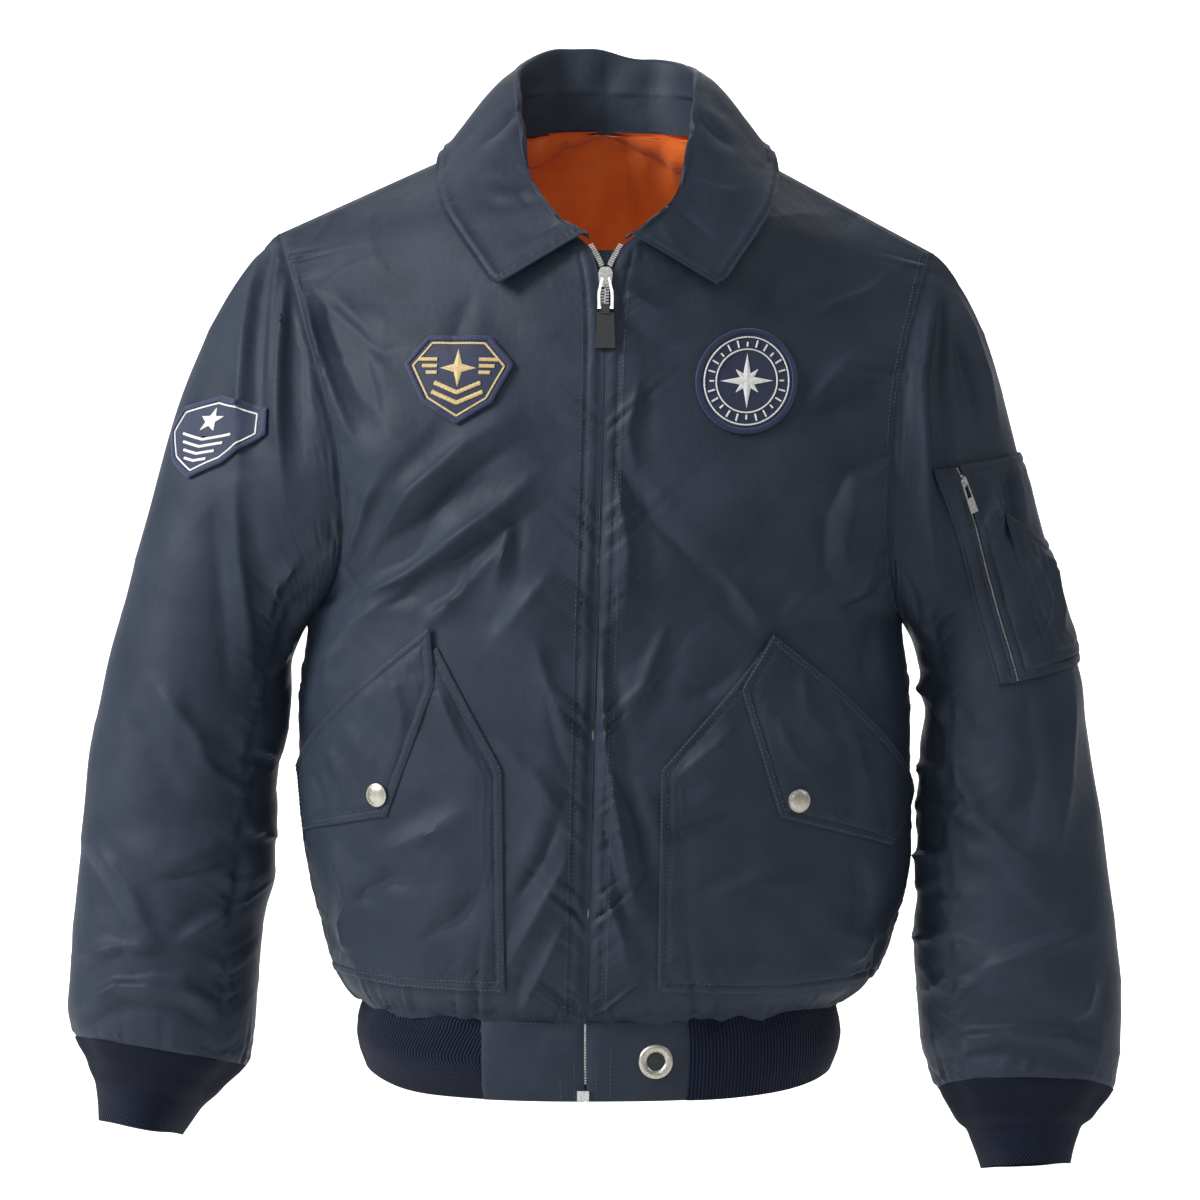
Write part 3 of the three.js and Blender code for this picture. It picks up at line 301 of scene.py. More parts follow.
def sleeve_point(side, t, angle):
    """t is 0 at the armhole and SLEEVE_END at the cuff; angle is 0 outside, 90 at the front, 180 at the armpit."""
    t, angle = np.broadcast_arrays(np.asarray(t, float), np.asarray(angle, float))
    rings = SLEEVE_RINGS[side_name(side)]
    lower = ring_point(rings, side, np.maximum(t - 1, 0), angle)
    r = ARMPIT + (SHOULDER - ARMPIT) * (1 - np.abs(angle) / 180)
    start = np.where((angle >= 0)[..., None], outer_end("front", side, r), outer_end("back", side, r))
    end = ring_point(rings, side, np.zeros_like(t), angle)
    chord = np.linalg.norm(end - start, axis=-1, keepdims=True)
    turn = np.radians(angle)
    puff = point(side * 0.45, -0.3 * np.sin(turn), 0.1 * np.cos(turn))
    leave = unit(unit(end - start) + puff)
    onward = unit(ring_point(rings, side, np.full_like(t, 0.2), angle) - end)
    head = cubic(start, leave * chord, end, onward * chord, t)
    return np.where((t >= 1)[..., None], lower, head)


def near_path(places, path):
    """How far places lie from a path, how far along it, and on which side of it where it is flat."""
    path = np.asarray(path, float)
    lengths = np.linalg.norm(np.diff(path, axis=0), axis=1)
    starts = np.concatenate([[0], np.cumsum(lengths)])
    gap = np.full(places.shape[:-1], np.inf)
    along = np.zeros_like(gap)
    hand = np.zeros_like(gap)
    for a, b, length, start in zip(path[:-1], path[1:], lengths, starts):
        ahead, off = b - a, places - a
        part = np.clip((off @ ahead) / max(length, 1e-6) ** 2, 0, 1)
        far = np.linalg.norm(off - part[..., None] * ahead, axis=-1)
        closer = far < gap
        gap = np.where(closer, far, gap)
        along = np.where(closer, start + part * length, along)
        hand = np.where(closer, np.sign(ahead[0] * off[..., 1] - ahead[1] * off[..., 0]), hand)
    return gap, along, hand


def path_length(path):
    return np.linalg.norm(np.diff(np.asarray(path, float), axis=0), axis=1).sum()


def seen(pixel, y):
    """x and z where a pixel of the photograph falls at the depth y."""
    ahead = np.array([0, math.cos(TILT), -math.sin(TILT)])
    up = np.array([0, math.sin(TILT), math.cos(TILT)])
    ray = ahead + up * (PHOTO_MIDDLE - pixel[1]) / PHOTO_LENS + np.array([1, 0, 0]) * (pixel[0] - PHOTO_MIDDLE) / PHOTO_LENS
    at = CAMERA + ray * (y - CAMERA[1]) / ray[1]
    return at[0], at[2]


def traced(creases, y):
    return [(height, width, *[seen(pixel, y) for pixel in path]) for height, width, *path in creases]


def crease_height(points, creases):
    """Height of the creases at points, seen from the front: each is a height, a width and a path in x and z."""
    places = points[..., [0, 2]]
    total = np.zeros(places.shape[:-1])
    for height, width, *path in creases:
        gap, along, hand = near_path(places, path)
        part = along / path_length(path)
        grown = width * (0.75 + 0.5 * part)
        taper = ease(part / 0.3 + 0.3) * ease((1 - part) / 0.5)
        side_width = grown * np.where(hand > 0, 0.62, 1.15)
        ridge = 0.75 * bell(gap / side_width) + 0.6 * bell(gap / (0.38 * side_width))
        hollow = 0.4 * bell((gap - 1.5 * grown) / (0.7 * grown)) * (hand > 0)
        total += height * taper * (ridge - hollow)
    return total


def puckers(near, pitch, height, reach, slant=0.0):
    """Short uneven bulges with sharp valleys between them, which run off a seam and fade out over a reach."""
    gap, along, _ = near
    turn = math.pi * (along + slant * gap) / pitch
    wander = turn + 0.9 * np.sin(turn / 2.3) + 0.7 * np.sin(turn / 0.83)
    wave = 1.7 * np.abs(np.sin(wander)) - 1.05 + 0.35 * np.sin(1.37 * turn)
    strength = 0.6 + 0.4 * np.sin(turn / 3.1 + 1)
    far = reach * (0.75 + 0.45 * np.sin(turn / 1.9 + 2))
    return height * wave * strength * ease(gap / 2.5) * np.exp(-((gap / far) ** 1.3))


def seam_swell(nears, height=1.1):
    """Cloth swells a little away from its seams, so the seams lie sunk."""
    nearest = np.min([gap for gap, _, _ in nears], axis=0)
    return height * ease(nearest / 5), nearest


def ripple(points):
    """Slow uneven waves of the cloth between its creases."""
    x, y, z = points[..., 0], points[..., 1], points[..., 2]
    first = np.sin(x / 23 + z / 41 + 1.4 * np.sin(z / 67 + y / 50))
    second = np.sin(z / 29 - x / 53 + 1.2 * np.sin(x / 47))
    third = np.sin(x / 13 - z / 19 + y / 17 + 1.5 * np.sin(z / 31))
    sharp = (1 - np.abs(np.sin(x / 27 - z / 35 + 1.3 * np.sin(z / 43 + y / 31) + 0.5 * np.sin(x / 17)))) ** 4
    steep = (1 - np.abs(np.sin(x / 39 + z / 31 + 1.2 * np.sin(x / 37 - 2) + 0.6 * np.sin(z / 19)))) ** 4
    crossed = 0.55 * sharp * ease(second * 2 + 0.1) + 0.5 * steep * ease(first * 2)
    return 0.55 * first * second + 0.22 * third * first + crossed


# Creases read off the photograph: height, width, and the pixels that each passes through
FRONT_CREASES = traced(
    [
        (5.5, 13, (300, 300), (318, 352), (345, 420), (372, 478)),
        (-3.5, 9, (318, 300), (345, 338), (368, 392), (392, 440)),
        (4.5, 9, (346, 560), (366, 500), (392, 462)),
        (5, 11, (372, 545), (412, 492), (468, 440), (536, 402)),
        (-4, 9, (384, 560), (436, 508), (486, 462), (540, 428)),
        (6, 12, (352, 604), (410, 572), (464, 532), (508, 500), (560, 448)),
        (-4, 9, (380, 612), (440, 574), (500, 532), (566, 486)),
        (4.5, 9, (430, 622), (462, 592), (498, 552), (514, 522)),
        (3, 6, (488, 518), (510, 530), (503, 566), (492, 600)),
        (4, 13, (316, 672), (356, 624), (418, 584)),
        (-3, 12, (338, 320), (378, 352), (420, 345)),
        (-2.5, 9, (470, 300), (458, 330), (446, 356)),
        (2.5, 9, (498, 636), (528, 600), (560, 560)),
        (3, 8, (508, 962), (540, 906), (562, 868), (574, 818)),
        (3, 7, (520, 1010), (548, 955), (572, 900)),
        (-2.5, 7, (514, 900), (545, 850), (574, 770)),
        (2.5, 8, (500, 742), (536, 770), (574, 830)),
        (-2, 7, (548, 692), (558, 740), (576, 790)),
        (2.5, 9, (536, 640), (552, 690), (574, 742)),
        (-4.5, 7, (896, 452), (846, 470), (823, 512), (824, 566), (850, 598)),
        (3.5, 9, (884, 470), (852, 500), (842, 548), (858, 584)),
        (3.5, 8, (856, 604), (870, 560), (882, 520)),
        (-3, 7, (842, 612), (878, 598), (896, 570)),
        (-2.5, 9, (613, 458), (658, 524), (690, 556), (742, 604)),
        (3.5, 12, (616, 470), (628, 550), (620, 640)),
        (2.5, 9, (640, 380), (628, 432), (640, 486)),
        (-2.5, 8, (622, 320), (664, 344), (700, 352)),
        (2.5, 8, (624, 290), (660, 312), (704, 322)),
        (3, 12, (806, 316), (872, 292), (914, 256)),
        (-3, 11, (818, 418), (882, 384), (908, 352)),
        (2.5, 9, (812, 398), (850, 360), (880, 340)),
        (3, 8, (766, 630), (740, 596), (704, 552)),
        (2.5, 8, (776, 626), (800, 596), (836, 584)),
        (-3, 9, (740, 664), (706, 690), (676, 694)),
        (4.5, 9, (598, 632), (604, 730), (622, 840), (648, 960)),
        (3, 10, (670, 616), (642, 684), (606, 744)),
        (-3, 8, (612, 760), (640, 820), (656, 900)),
        (2.5, 8, (600, 880), (622, 930), (640, 1000)),
        (-2.5, 7, (604, 820), (618, 880), (632, 940)),
        (3, 8, (322, 700), (330, 664), (356, 640)),
        (-2.5, 8, (880, 620), (868, 666), (882, 720)),
    ],
    -105,
)
POCKET_CREASES = traced(
    [
        (3, 11, (380, 856), (430, 832), (484, 800)),
        (-2.5, 9, (352, 908), (392, 880), (446, 888)),
        (2.5, 9, (330, 850), (352, 905), (372, 950)),
        (3, 8, (346, 962), (342, 930), (352, 896)),
        (-2, 10, (420, 940), (462, 916), (494, 870)),
        (2, 9, (440, 690), (462, 740), (490, 776)),
        (-2.5, 9, (668, 832), (704, 822), (748, 800)),
        (2.5, 11, (680, 770), (716, 742), (740, 716)),
        (2.2, 10, (700, 900), (760, 880), (820, 882)),
        (-2.2, 9, (856, 860), (866, 900), (852, 950)),
        (2.5, 8, (874, 940), (862, 962), (840, 975)),
    ],
    -112,
)
FLAP_CREASES = traced(
    [
        (1.8, 5, (330, 752), (346, 780), (352, 812)),
        (1.6, 5, (352, 730), (372, 760), (382, 786)),
        (-1.4, 5, (372, 704), (388, 738), (396, 760)),
        (1.6, 5, (396, 682), (406, 716), (408, 742)),
        (-1.3, 4, (312, 776), (322, 800), (320, 820)),
        (1.6, 6, (800, 672), (806, 712), (826, 742)),
        (-1.4, 5, (826, 700), (838, 740), (858, 766)),
        (1.6, 6, (852, 730), (860, 772), (872, 804)),
        (1.4, 6, (776, 720), (790, 752), (818, 776)),
    ],
    -112,
)
BACK_CREASES = [
    (5, 20, (-172, -176), (-110, -240), (-45, -310)),
    (-3.5, 14, (-186, -250), (-120, -290), (-70, -360)),
    (4.5, 15, (-196, -318), (-130, -340), (-58, -400)),
    (5, 20, (180, -180), (112, -236), (52, -296)),
    (-3.5, 14, (196, -262), (140, -290), (84, -352)),
    (4, 14, (202, -330), (150, -352), (96, -420)),
    (4, 17, (-66, -30), (-20, -66), (40, -60)),
    (-3, 13, (-120, -70), (-30, -112), (66, -104)),
    (4.5, 17, (-180, -470), (-96, -500), (10, -482)),
    (-4, 15, (-140, -418), (-30, -446), (84, -430)),
    (5, 17, (190, -500), (110, -540), (20, -528)),
    (-3, 12, (-196, -560), (-120, -584), (-30, -578)),
    (3.5, 12, (-90, -606), (-60, -566), (-10, -540)),
    (3.5, 12, (130, -608), (104, -580), (60, -560)),
    (3, 12, (10, -380), (-6, -300), (12, -230)),
    (-2.5, 11, (70, -190), (52, -250), (62, -320)),
    (3, 11, (-150, -120), (-90, -150), (-40, -200)),
    (-2.5, 12, (150, -110), (96, -142), (40, -170)),
]
SLEEVE_CREASES = {
    "right": {
        "front": traced(
            [
                (-5.5, 5, (266, 246), (259, 300), (257, 372), (262, 450)),
                (4.5, 7, (283, 268), (279, 350), (280, 430), (288, 530)),
                (4, 8, (250, 262), (242, 330), (238, 420), (240, 520)),
                (-2.5, 7, (300, 330), (300, 400), (306, 470)),
                (3, 9, (235, 482), (244, 608), (254, 734)),
                (-2.5, 9, (214, 500), (222, 620), (232, 730)),
                (3.5, 12, (159, 689), (196, 736), (224, 808)),
                (-2.5, 11, (130, 720), (168, 780), (206, 850)),
                (-3.5, 9, (80, 862), (114, 916), (142, 1000)),
                (3, 8, (96, 850), (130, 890), (164, 960)),
                (3.5, 8, (176, 944), (228, 912), (256, 892)),
                (-3, 8, (160, 880), (214, 866), (262, 838)),
                (5, 9, (80, 1012), (116, 984), (180, 984), (240, 1024)),
                (-4, 7, (88, 1026), (130, 1004), (186, 1008), (232, 1040)),
                (3, 8, (76, 960), (120, 946), (172, 950)),
                (4, 7, (298, 560), (276, 590), (262, 640)),
                (-3.5, 6, (312, 590), (288, 612), (268, 668)),
                (3.5, 6, (286, 640), (266, 690), (256, 700)),
                (3, 6, (272, 762), (246, 750), (226, 766)),
                (-3, 5, (270, 800), (244, 796), (222, 812)),
                (3, 6, (272, 848), (244, 832), (216, 842)),
            ],
            -75,
        ),
        "back": [
            (5, 12, (-300, -380), (-250, -420), (-236, -470)),
            (-4, 10, (-340, -420), (-290, -450), (-250, -510)),
            (4.5, 11, (-362, -500), (-310, -520), (-256, -500)),
            (-3.5, 10, (-360, -560), (-300, -580), (-256, -560)),
            (4, 9, (-366, -628), (-310, -640), (-262, -628)),
            (4, 12, (-262, -150), (-292, -250), (-312, -350)),
            (-3, 9, (-236, -180), (-262, -260), (-268, -340)),
        ],
    },
    "left": {
        "front": traced(
            [
                (4.5, 8, (938, 290), (922, 380), (926, 500), (944, 640)),
                (-5, 6, (948, 300), (940, 380), (944, 470), (952, 560)),
                (3.5, 8, (966, 296), (992, 378), (1008, 452)),
                (-2.5, 6, (956, 330), (974, 396), (984, 458)),
                (-3, 6, (912, 300), (902, 380), (900, 470)),
                (4, 8, (958, 700), (952, 758), (980, 816), (1032, 856)),
                (-3.5, 7, (940, 690), (936, 740), (952, 796)),
                (3.5, 12, (1078, 690), (1068, 796), (1050, 892)),
                (-3, 11, (1030, 700), (1032, 790), (1016, 870)),
                (4, 9, (950, 812), (1000, 838), (1060, 880)),
                (-3, 9, (944, 862), (1000, 882), (1062, 934)),
                (3.5, 10, (984, 968), (1030, 948), (1112, 930)),
                (5, 9, (948, 1040), (1012, 1030), (1064, 1034), (1108, 1060)),
                (-4, 7, (942, 1064), (1006, 1048), (1060, 1052), (1106, 1074)),
                (3, 8, (1094, 980), (1086, 1010), (1060, 1030)),
                (4, 7, (900, 556), (914, 586), (930, 640)),
                (-3.5, 6, (896, 600), (916, 632), (936, 676)),
                (4, 7, (912, 680), (936, 700), (960, 742)),
                (4, 6, (914, 780), (940, 772), (968, 790)),
                (-3.5, 5, (908, 830), (936, 820), (970, 836)),
                (4, 6, (910, 868), (940, 858), (976, 880)),
                (-3.5, 5, (912, 910), (942, 896), (980, 912)),
                (4, 6, (916, 948), (944, 940), (984, 960)),
                (3.5, 6, (924, 1000), (950, 984), (990, 994)),
            ],
            -75,
        ),
        "back": [
            (5, 12, (300, -390), (256, -430), (240, -480)),
            (-4, 10, (342, -430), (290, -462), (246, -520)),
            (4.5, 11, (360, -520), (300, -540), (240, -516)),
            (-3.5, 10, (362, -590), (300, -606), (244, -590)),
            (4, 9, (362, -660), (310, -668), (252, -656)),
            (4, 12, (262, -160), (290, -262), (306, -360)),
            (-3, 9, (244, -200), (262, -280), (266, -350)),
        ],
    },
}
COLLAR_CREASES = traced(
    [
        (1.6, 6, (520, 100), (496, 128), (470, 150)),
        (-1.4, 5, (540, 190), (506, 196), (474, 190)),
        (1.5, 6, (560, 222), (530, 236), (506, 252)),
        (-1.3, 5, (530, 160), (500, 170), (470, 172)),
        (1.5, 6, (700, 110), (724, 134), (744, 150)),
        (-1.4, 5, (690, 176), (722, 190), (750, 190)),
        (1.5, 6, (676, 206), (700, 226), (722, 246)),
        (-1.2, 5, (660, 222), (676, 246), (690, 262)),
    ],
    -80,
)

# The largest folds, which the solids have too: height, width and the two ends in x and z
SOLID_FOLDS = {
    "front": [
        (5, 22, (-150, -225), (-45, -335)),
        (-4, 20, (-165, -275), (-80, -330)),
        (-3, 20, (-30, -225), (-75, -130)),
        (4, 17, (-25, -400), (-45, -560)),
        (4, 24, (30, -300), (120, -250)),
        (-4, 20, (25, -360), (80, -320)),
        (4, 15, (22, -480), (12, -575)),
    ],
    "back": [
        (5, 24, (-150, -190), (-40, -300)),
        (5, 24, (160, -200), (50, -290)),
        (-4, 22, (-120, -420), (70, -455)),
        (5, 20, (-90, -540), (140, -520)),
    ],
}
# Places where hard pieces and patches keep the cloth calm: x, z and radius
CALM = [(-131, -464, 20), (134, -467, 20), (3, -103, 16), (26, -664, 20), (-100, -174, 38), (106, -176, 38)]


def solid_fold_height(face, points):
    places = points[..., [0, 2]]
    return sum(height * bell(near_path(places, path)[0] / width) for height, width, *path in SOLID_FOLDS[face])


def calm(points):
    places = points[..., [0, 2]]
    nearest = [1 - 0.85 * bell(np.linalg.norm(places - [x, z], axis=-1) / radius) for x, z, radius in CALM]
    return np.prod(nearest, axis=0)


ROWS = np.linspace(0, SHOULDER, 57)
ACROSS = np.linspace(0, 1, 25)


class BodyHalf:
    """Half of the front or back. Places on it are distances round from its inner end, and heights."""

    def __init__(self, face, side):
        self.face, self.side = face, side
        self.outward = side if face == "front" else -side
        self.rows = np.linspace(0, SHOULDER, 421)
        parts = np.linspace(0, 1, 81)
        grid = body_point(face, side, parts, self.rows[:, None])
        run = np.cumsum(np.linalg.norm(np.diff(grid, axis=1), axis=2), axis=1)
        run = np.hstack([np.zeros((len(self.rows), 1)), run])
        self.lengths = run[:, -1]
        self.distances = np.arange(0, run.max() + 2, 2.0)
        self.parts = np.array([np.interp(self.distances, row, parts) for row in run])
        self.heights = body_point(face, side, self.parts, self.rows[:, None])[..., 2]
        below, above = ROWS[ROWS <= ARMPIT], ROWS[ROWS >= ARMPIT]
        self.side_seam = body_point(face, side, 1, below)
        self.armhole = body_point(face, side, 1, above)
        self.shoulder = body_point(face, side, ACROSS, SHOULDER)
        self.hem = body_point(face, side, ACROSS, 0)
        neck_rows = ROWS[ROWS >= NECK_CENTRE]
        self.neck = body_point(face, side, 0, neck_rows)
        self.closure = body_point(face, side, 0, ROWS[ROWS <= NECK_CENTRE])

    def place(self, s, z):
        s, z = np.broadcast_arrays(np.asarray(s, float), np.asarray(z, float))
        shape = s.shape
        s, z = np.clip(s.ravel(), 0, None), z.ravel()
        k = np.clip((s / 2).astype(int), 0, len(self.distances) - 2)
        f = np.clip(s / 2 - k, 0, 1)
        heights = mix(self.heights[:, k], self.heights[:, k + 1], f)
        i = np.clip((heights < z).sum(axis=0), 1, len(self.rows) - 1)
        n = np.arange(len(s))
        low, high = heights[i - 1, n], heights[i, n]
        g = np.clip((z - low) / np.where(high - low == 0, 1, high - low), 0, 1)
        r = mix(self.rows[i - 1], self.rows[i], g)
        t = mix(mix(self.parts[i - 1, k], self.parts[i - 1, k + 1], f), mix(self.parts[i, k], self.parts[i, k + 1], f), g)
        return body_point(self.face, self.side, t, r).reshape(*shape, 3)

    def height(self, points):
        armhole, side_seam, hem, shoulder, neck = (
            near_path(points, seam) for seam in (self.armhole, self.side_seam, self.hem, self.shoulder, self.neck)
        )
        nears = [armhole, side_seam, hem, shoulder, neck]
        creases = FRONT_CREASES if self.face == "front" else BACK_CREASES
        free = crease_height(points, creases) + solid_fold_height(self.face, points) + ripple(points)
        if self.face == "front":
            closure = near_path(points, self.closure)
            nears.append(closure)
            free *= calm(points)
            lower = ease((-150 - points[..., 2]) / 150)
            free += puckers(closure, 11, 2.6 * (0.45 + 0.55 * lower), 34, -0.9)
            free -= 0.9 * bell((closure[0] - ZIP_STITCH) / 1.6)
        swell, nearest = seam_swell(nears)
        free += puckers(armhole, 12, 2.0, 18, 0.3)
        free += puckers(side_seam, 13, 1.7, 20, 0.4)
        free += puckers(hem, 11, 3.4, 32, 0.15)
        free += puckers(shoulder, 17, 0.8, 12)
        return np.maximum(swell + free * ease(nearest / 7), -1.6)

    def on(self, s, z, step=2.0):
        """Points on the creased cloth and the directions out of it."""
        points = self.place(s, z)
        across = self.place(s + step, z) - self.place(np.maximum(s - step, 0), z)
        up = self.place(s, z + step) - self.place(s, z - step)
        normals = unit(np.cross(across, up)) * self.outward
        return points + normals * self.height(points)[..., None], normals


ZIP_STITCH = 9.5
HALVES = {(face, side): BodyHalf(face, side) for face in ("front", "back") for side in (-1, 1)}

# The solids' creases round the sleeves: height of the place, its angle, reach round, height and width, and lean
SOLID_SLEEVE_FOLDS = {
    "right": [
        (-395, 140, 50, -5, 13, 0.3),
        (-470, 150, 60, -5, 12, 0.2),
        (-520, 120, 70, 4, 13, -0.2),
        (-585, 90, 60, -4, 13, 0.25),
        (-440, -120, 60, -5, 14, 0.2),
        (-550, -90, 70, 4, 14, -0.2),
    ],
    "left": [
        (-430, 140, 55, -5, 13, 0.3),
        (-500, 150, 60, -5, 12, -0.2),
        (-560, 130, 60, -4, 12, 0.2),
        (-630, 90, 70, -4, 13, 0.2),
        (-450, -120, 60, -5, 14, 0.2),
        (-580, -90, 70, 4, 14, -0.2),
    ],
}
UNDER_SEAM_ANGLE = 135


class Sleeve:
    """A sleeve. Places on it are angles round it and heights."""

    def __init__(self, side):
        self.side = side
        self.name = side_name(side)
        turn = np.linspace(-180, 180, 64)
        down = np.linspace(0, SLEEVE_END, 44)
        self.armhole = sleeve_point(side, 0, turn)
        self.cuff = sleeve_point(side, SLEEVE_END, turn)
        self.front_seam = sleeve_point(side, down, UNDER_SEAM_ANGLE)
        self.back_seam = sleeve_point(side, down, -UNDER_SEAM_ANGLE)

    def place(self, angle, z):
        angle, z = np.broadcast_arrays(np.asarray(angle, float), np.asarray(z, float))
        low, high = np.zeros_like(z), np.full_like(z, SLEEVE_END)
        for _ in range(22):
            t = (low + high) / 2
            above = sleeve_point(self.side, t, angle)[..., 2] > z
            low, high = np.where(above, t, low), np.where(above, high, t)
        return sleeve_point(self.side, (low + high) / 2, angle)

    def height(self, points, angle):
        nears = [near_path(points, seam) for seam in (self.armhole, self.cuff, self.front_seam, self.back_seam)]
        armhole, cuff, front_seam, back_seam = nears
        swell, nearest = seam_swell(nears, 0.9)
        free = np.zeros_like(nearest)
        for z, middle, span, height, width, lean in SOLID_SLEEVE_FOLDS[self.name]:
            off = (angle - middle + 540) % 360 - 180
            free += height * bell((points[..., 2] - z - lean * off) / width) * bell(off / span)
        front = ease(np.sin(np.radians(angle)) * 2 + 0.6)
        creases = SLEEVE_CREASES[self.name]
        free += crease_height(points, creases["front"]) * front + crease_height(points, creases["back"]) * (1 - front)
        free += ripple(points * 1.1)
        free *= ease(nearest / 10)
        lower = 0.55 + 0.45 * ease((-330 - points[..., 2]) / 160)
        free += puckers(armhole, 12, 1.4, 14, 0.3)
        free += puckers(front_seam, 11, 2.9 * lower, 24, 0.5)
        free += puckers(back_seam, 12, 2.4 * lower, 20, 0.5)
        free += puckers(cuff, 9, 1.9, 17, 0.1)
        return np.maximum(swell + free * ease(nearest / 5), -1.4)

    def on(self, angle, z, step=2.0):
        points = self.place(angle, z)
        across = self.place(angle + step, z) - self.place(angle - step, z)
        up = self.place(angle, z + step) - self.place(angle, z - step)
        normals = unit(np.cross(up, across)) * self.side
        return points + normals * self.height(points, angle)[..., None], normals


SLEEVES = {side: Sleeve(side) for side in (-1, 1)}


def add_mesh(name, points, faces, materials, uv=None, faces_inside=0, sharp=55):
    """A mesh from points in millimetres. The last faces_inside faces take the second material."""
    mesh = bpy.data.meshes.new(name)
    mesh.from_pydata((points * MM).tolist(), [], faces.tolist())
    for material in materials:
        mesh.materials.append(material)
    index = np.zeros(len(faces), int)
    if faces_inside:
        index[len(faces) - faces_inside :] = 1
    mesh.polygons.foreach_set("material_index", index)
    mesh.polygons.foreach_set("use_smooth", np.ones(len(faces), bool))
    if uv is not None:
        corners = np.empty(len(mesh.loops), int)
        mesh.loops.foreach_get("vertex_index", corners)
        mesh.uv_layers.new(name="cloth").data.foreach_set("uv", uv[corners].ravel())
    mesh.update()
    mesh.set_sharp_from_angle(angle=math.radians(sharp))
    piece = bpy.data.objects.new(name, mesh)
    bpy.context.scene.collection.objects.link(piece)
    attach(piece, BODY)
    return piece


def grid_normals(grid, closed, turned):
    if closed:
        across = np.roll(grid, -1, axis=1) - np.roll(grid, 1, axis=1)
    else:
        across = np.gradient(grid, axis=1)
    down = np.gradient(grid, axis=0)
    return unit(np.cross(across, down)) * (-1 if turned else 1)


NECK_APART = 13


def shell(name, grid, thickness, materials, turned=False, closed=False, uv=None, neck=False):
    """A closed sheet of cloth: the grid is its outer face, and the inner face lies a thickness behind.

    Where a neck is cut in, the upper rows have no faces between the halves that stand apart there.
    """
    rows, columns = grid.shape[:2]
    inner = grid - grid_normals(grid, closed, turned) * np.asarray(thickness)[..., None]
    outside = np.arange(rows * columns).reshape(rows, columns)
    if closed:
        outside = np.hstack([outside, outside[:, :1]])
    inside = outside + rows * columns

    def quads(index):
        return np.stack([index[:-1, :-1], index[:-1, 1:], index[1:, 1:], index[1:, :-1]], -1).reshape(-1, 4)

    def band(edge, back):
        return np.stack([edge[1:], edge[:-1], back[:-1], back[1:]], -1)

    rims = [band(outside[0], inside[0]), band(outside[-1][::-1], inside[-1][::-1])]
    if not closed:
        rims += [band(outside[::-1, 0], inside[::-1, 0]), band(outside[:, -1], inside[:, -1])]
    front, back = quads(outside), quads(inside)[:, ::-1]
    if neck:
        apart = np.linalg.norm(np.diff(grid, axis=1), axis=2) > NECK_APART
        j = int(np.argmax(apart[-1]))
        spans = apart[1:] | apart[:-1]
        i = int(np.argmax(spans[:, j]))
        kept = np.ones(spans.shape, bool)
        kept[i:, j] = False
        front, back = front[kept.ravel()], back[kept.ravel()]
        rims[1] = np.delete(rims[1], columns - 2 - j, axis=0)
        rims.append(band(outside[i:, j], inside[i:, j]))
        rims.append(band(outside[i:, j + 1][::-1], inside[i:, j + 1][::-1]))
        rims.append(band(outside[i, j : j + 2][::-1], inside[i, j : j + 2][::-1]))
    faces = np.vstack([front, *rims, back])
    if turned:
        faces = faces[:, ::-1]
    points = np.vstack([grid.reshape(-1, 3), inner.reshape(-1, 3)])
    if uv is not None:
        uv = np.vstack([uv.reshape(-1, 2)] * 2)
    return add_mesh(name, points, faces, materials, uv, len(back))


def run_along(grid, axis):
    """Distances along a grid's rows or columns, in millimetres."""
    steps_ = np.linalg.norm(np.diff(grid, axis=axis), axis=2)
    start = np.zeros_like(np.take(steps_, [0], axis=axis))
    return np.concatenate([start, np.cumsum(steps_, axis=axis)], axis=axis)


def dense_ends(count, pull=0.55):
    """Steps from 0 to 1 that lie closer together towards both ends."""
    x = np.linspace(0, 1, count)
    return x - pull * np.sin(2 * math.pi * x) / (2 * math.pi)


def even_rows(line, count, pull=0.3):
    """Row numbers that cut a line of points, a function of the row number, into even lengths."""
    rows, points = line
    run = np.concatenate([[0], np.cumsum(np.linalg.norm(np.diff(points, axis=0), axis=1))])
    return np.interp(dense_ends(count, pull) * run[-1], run, rows)


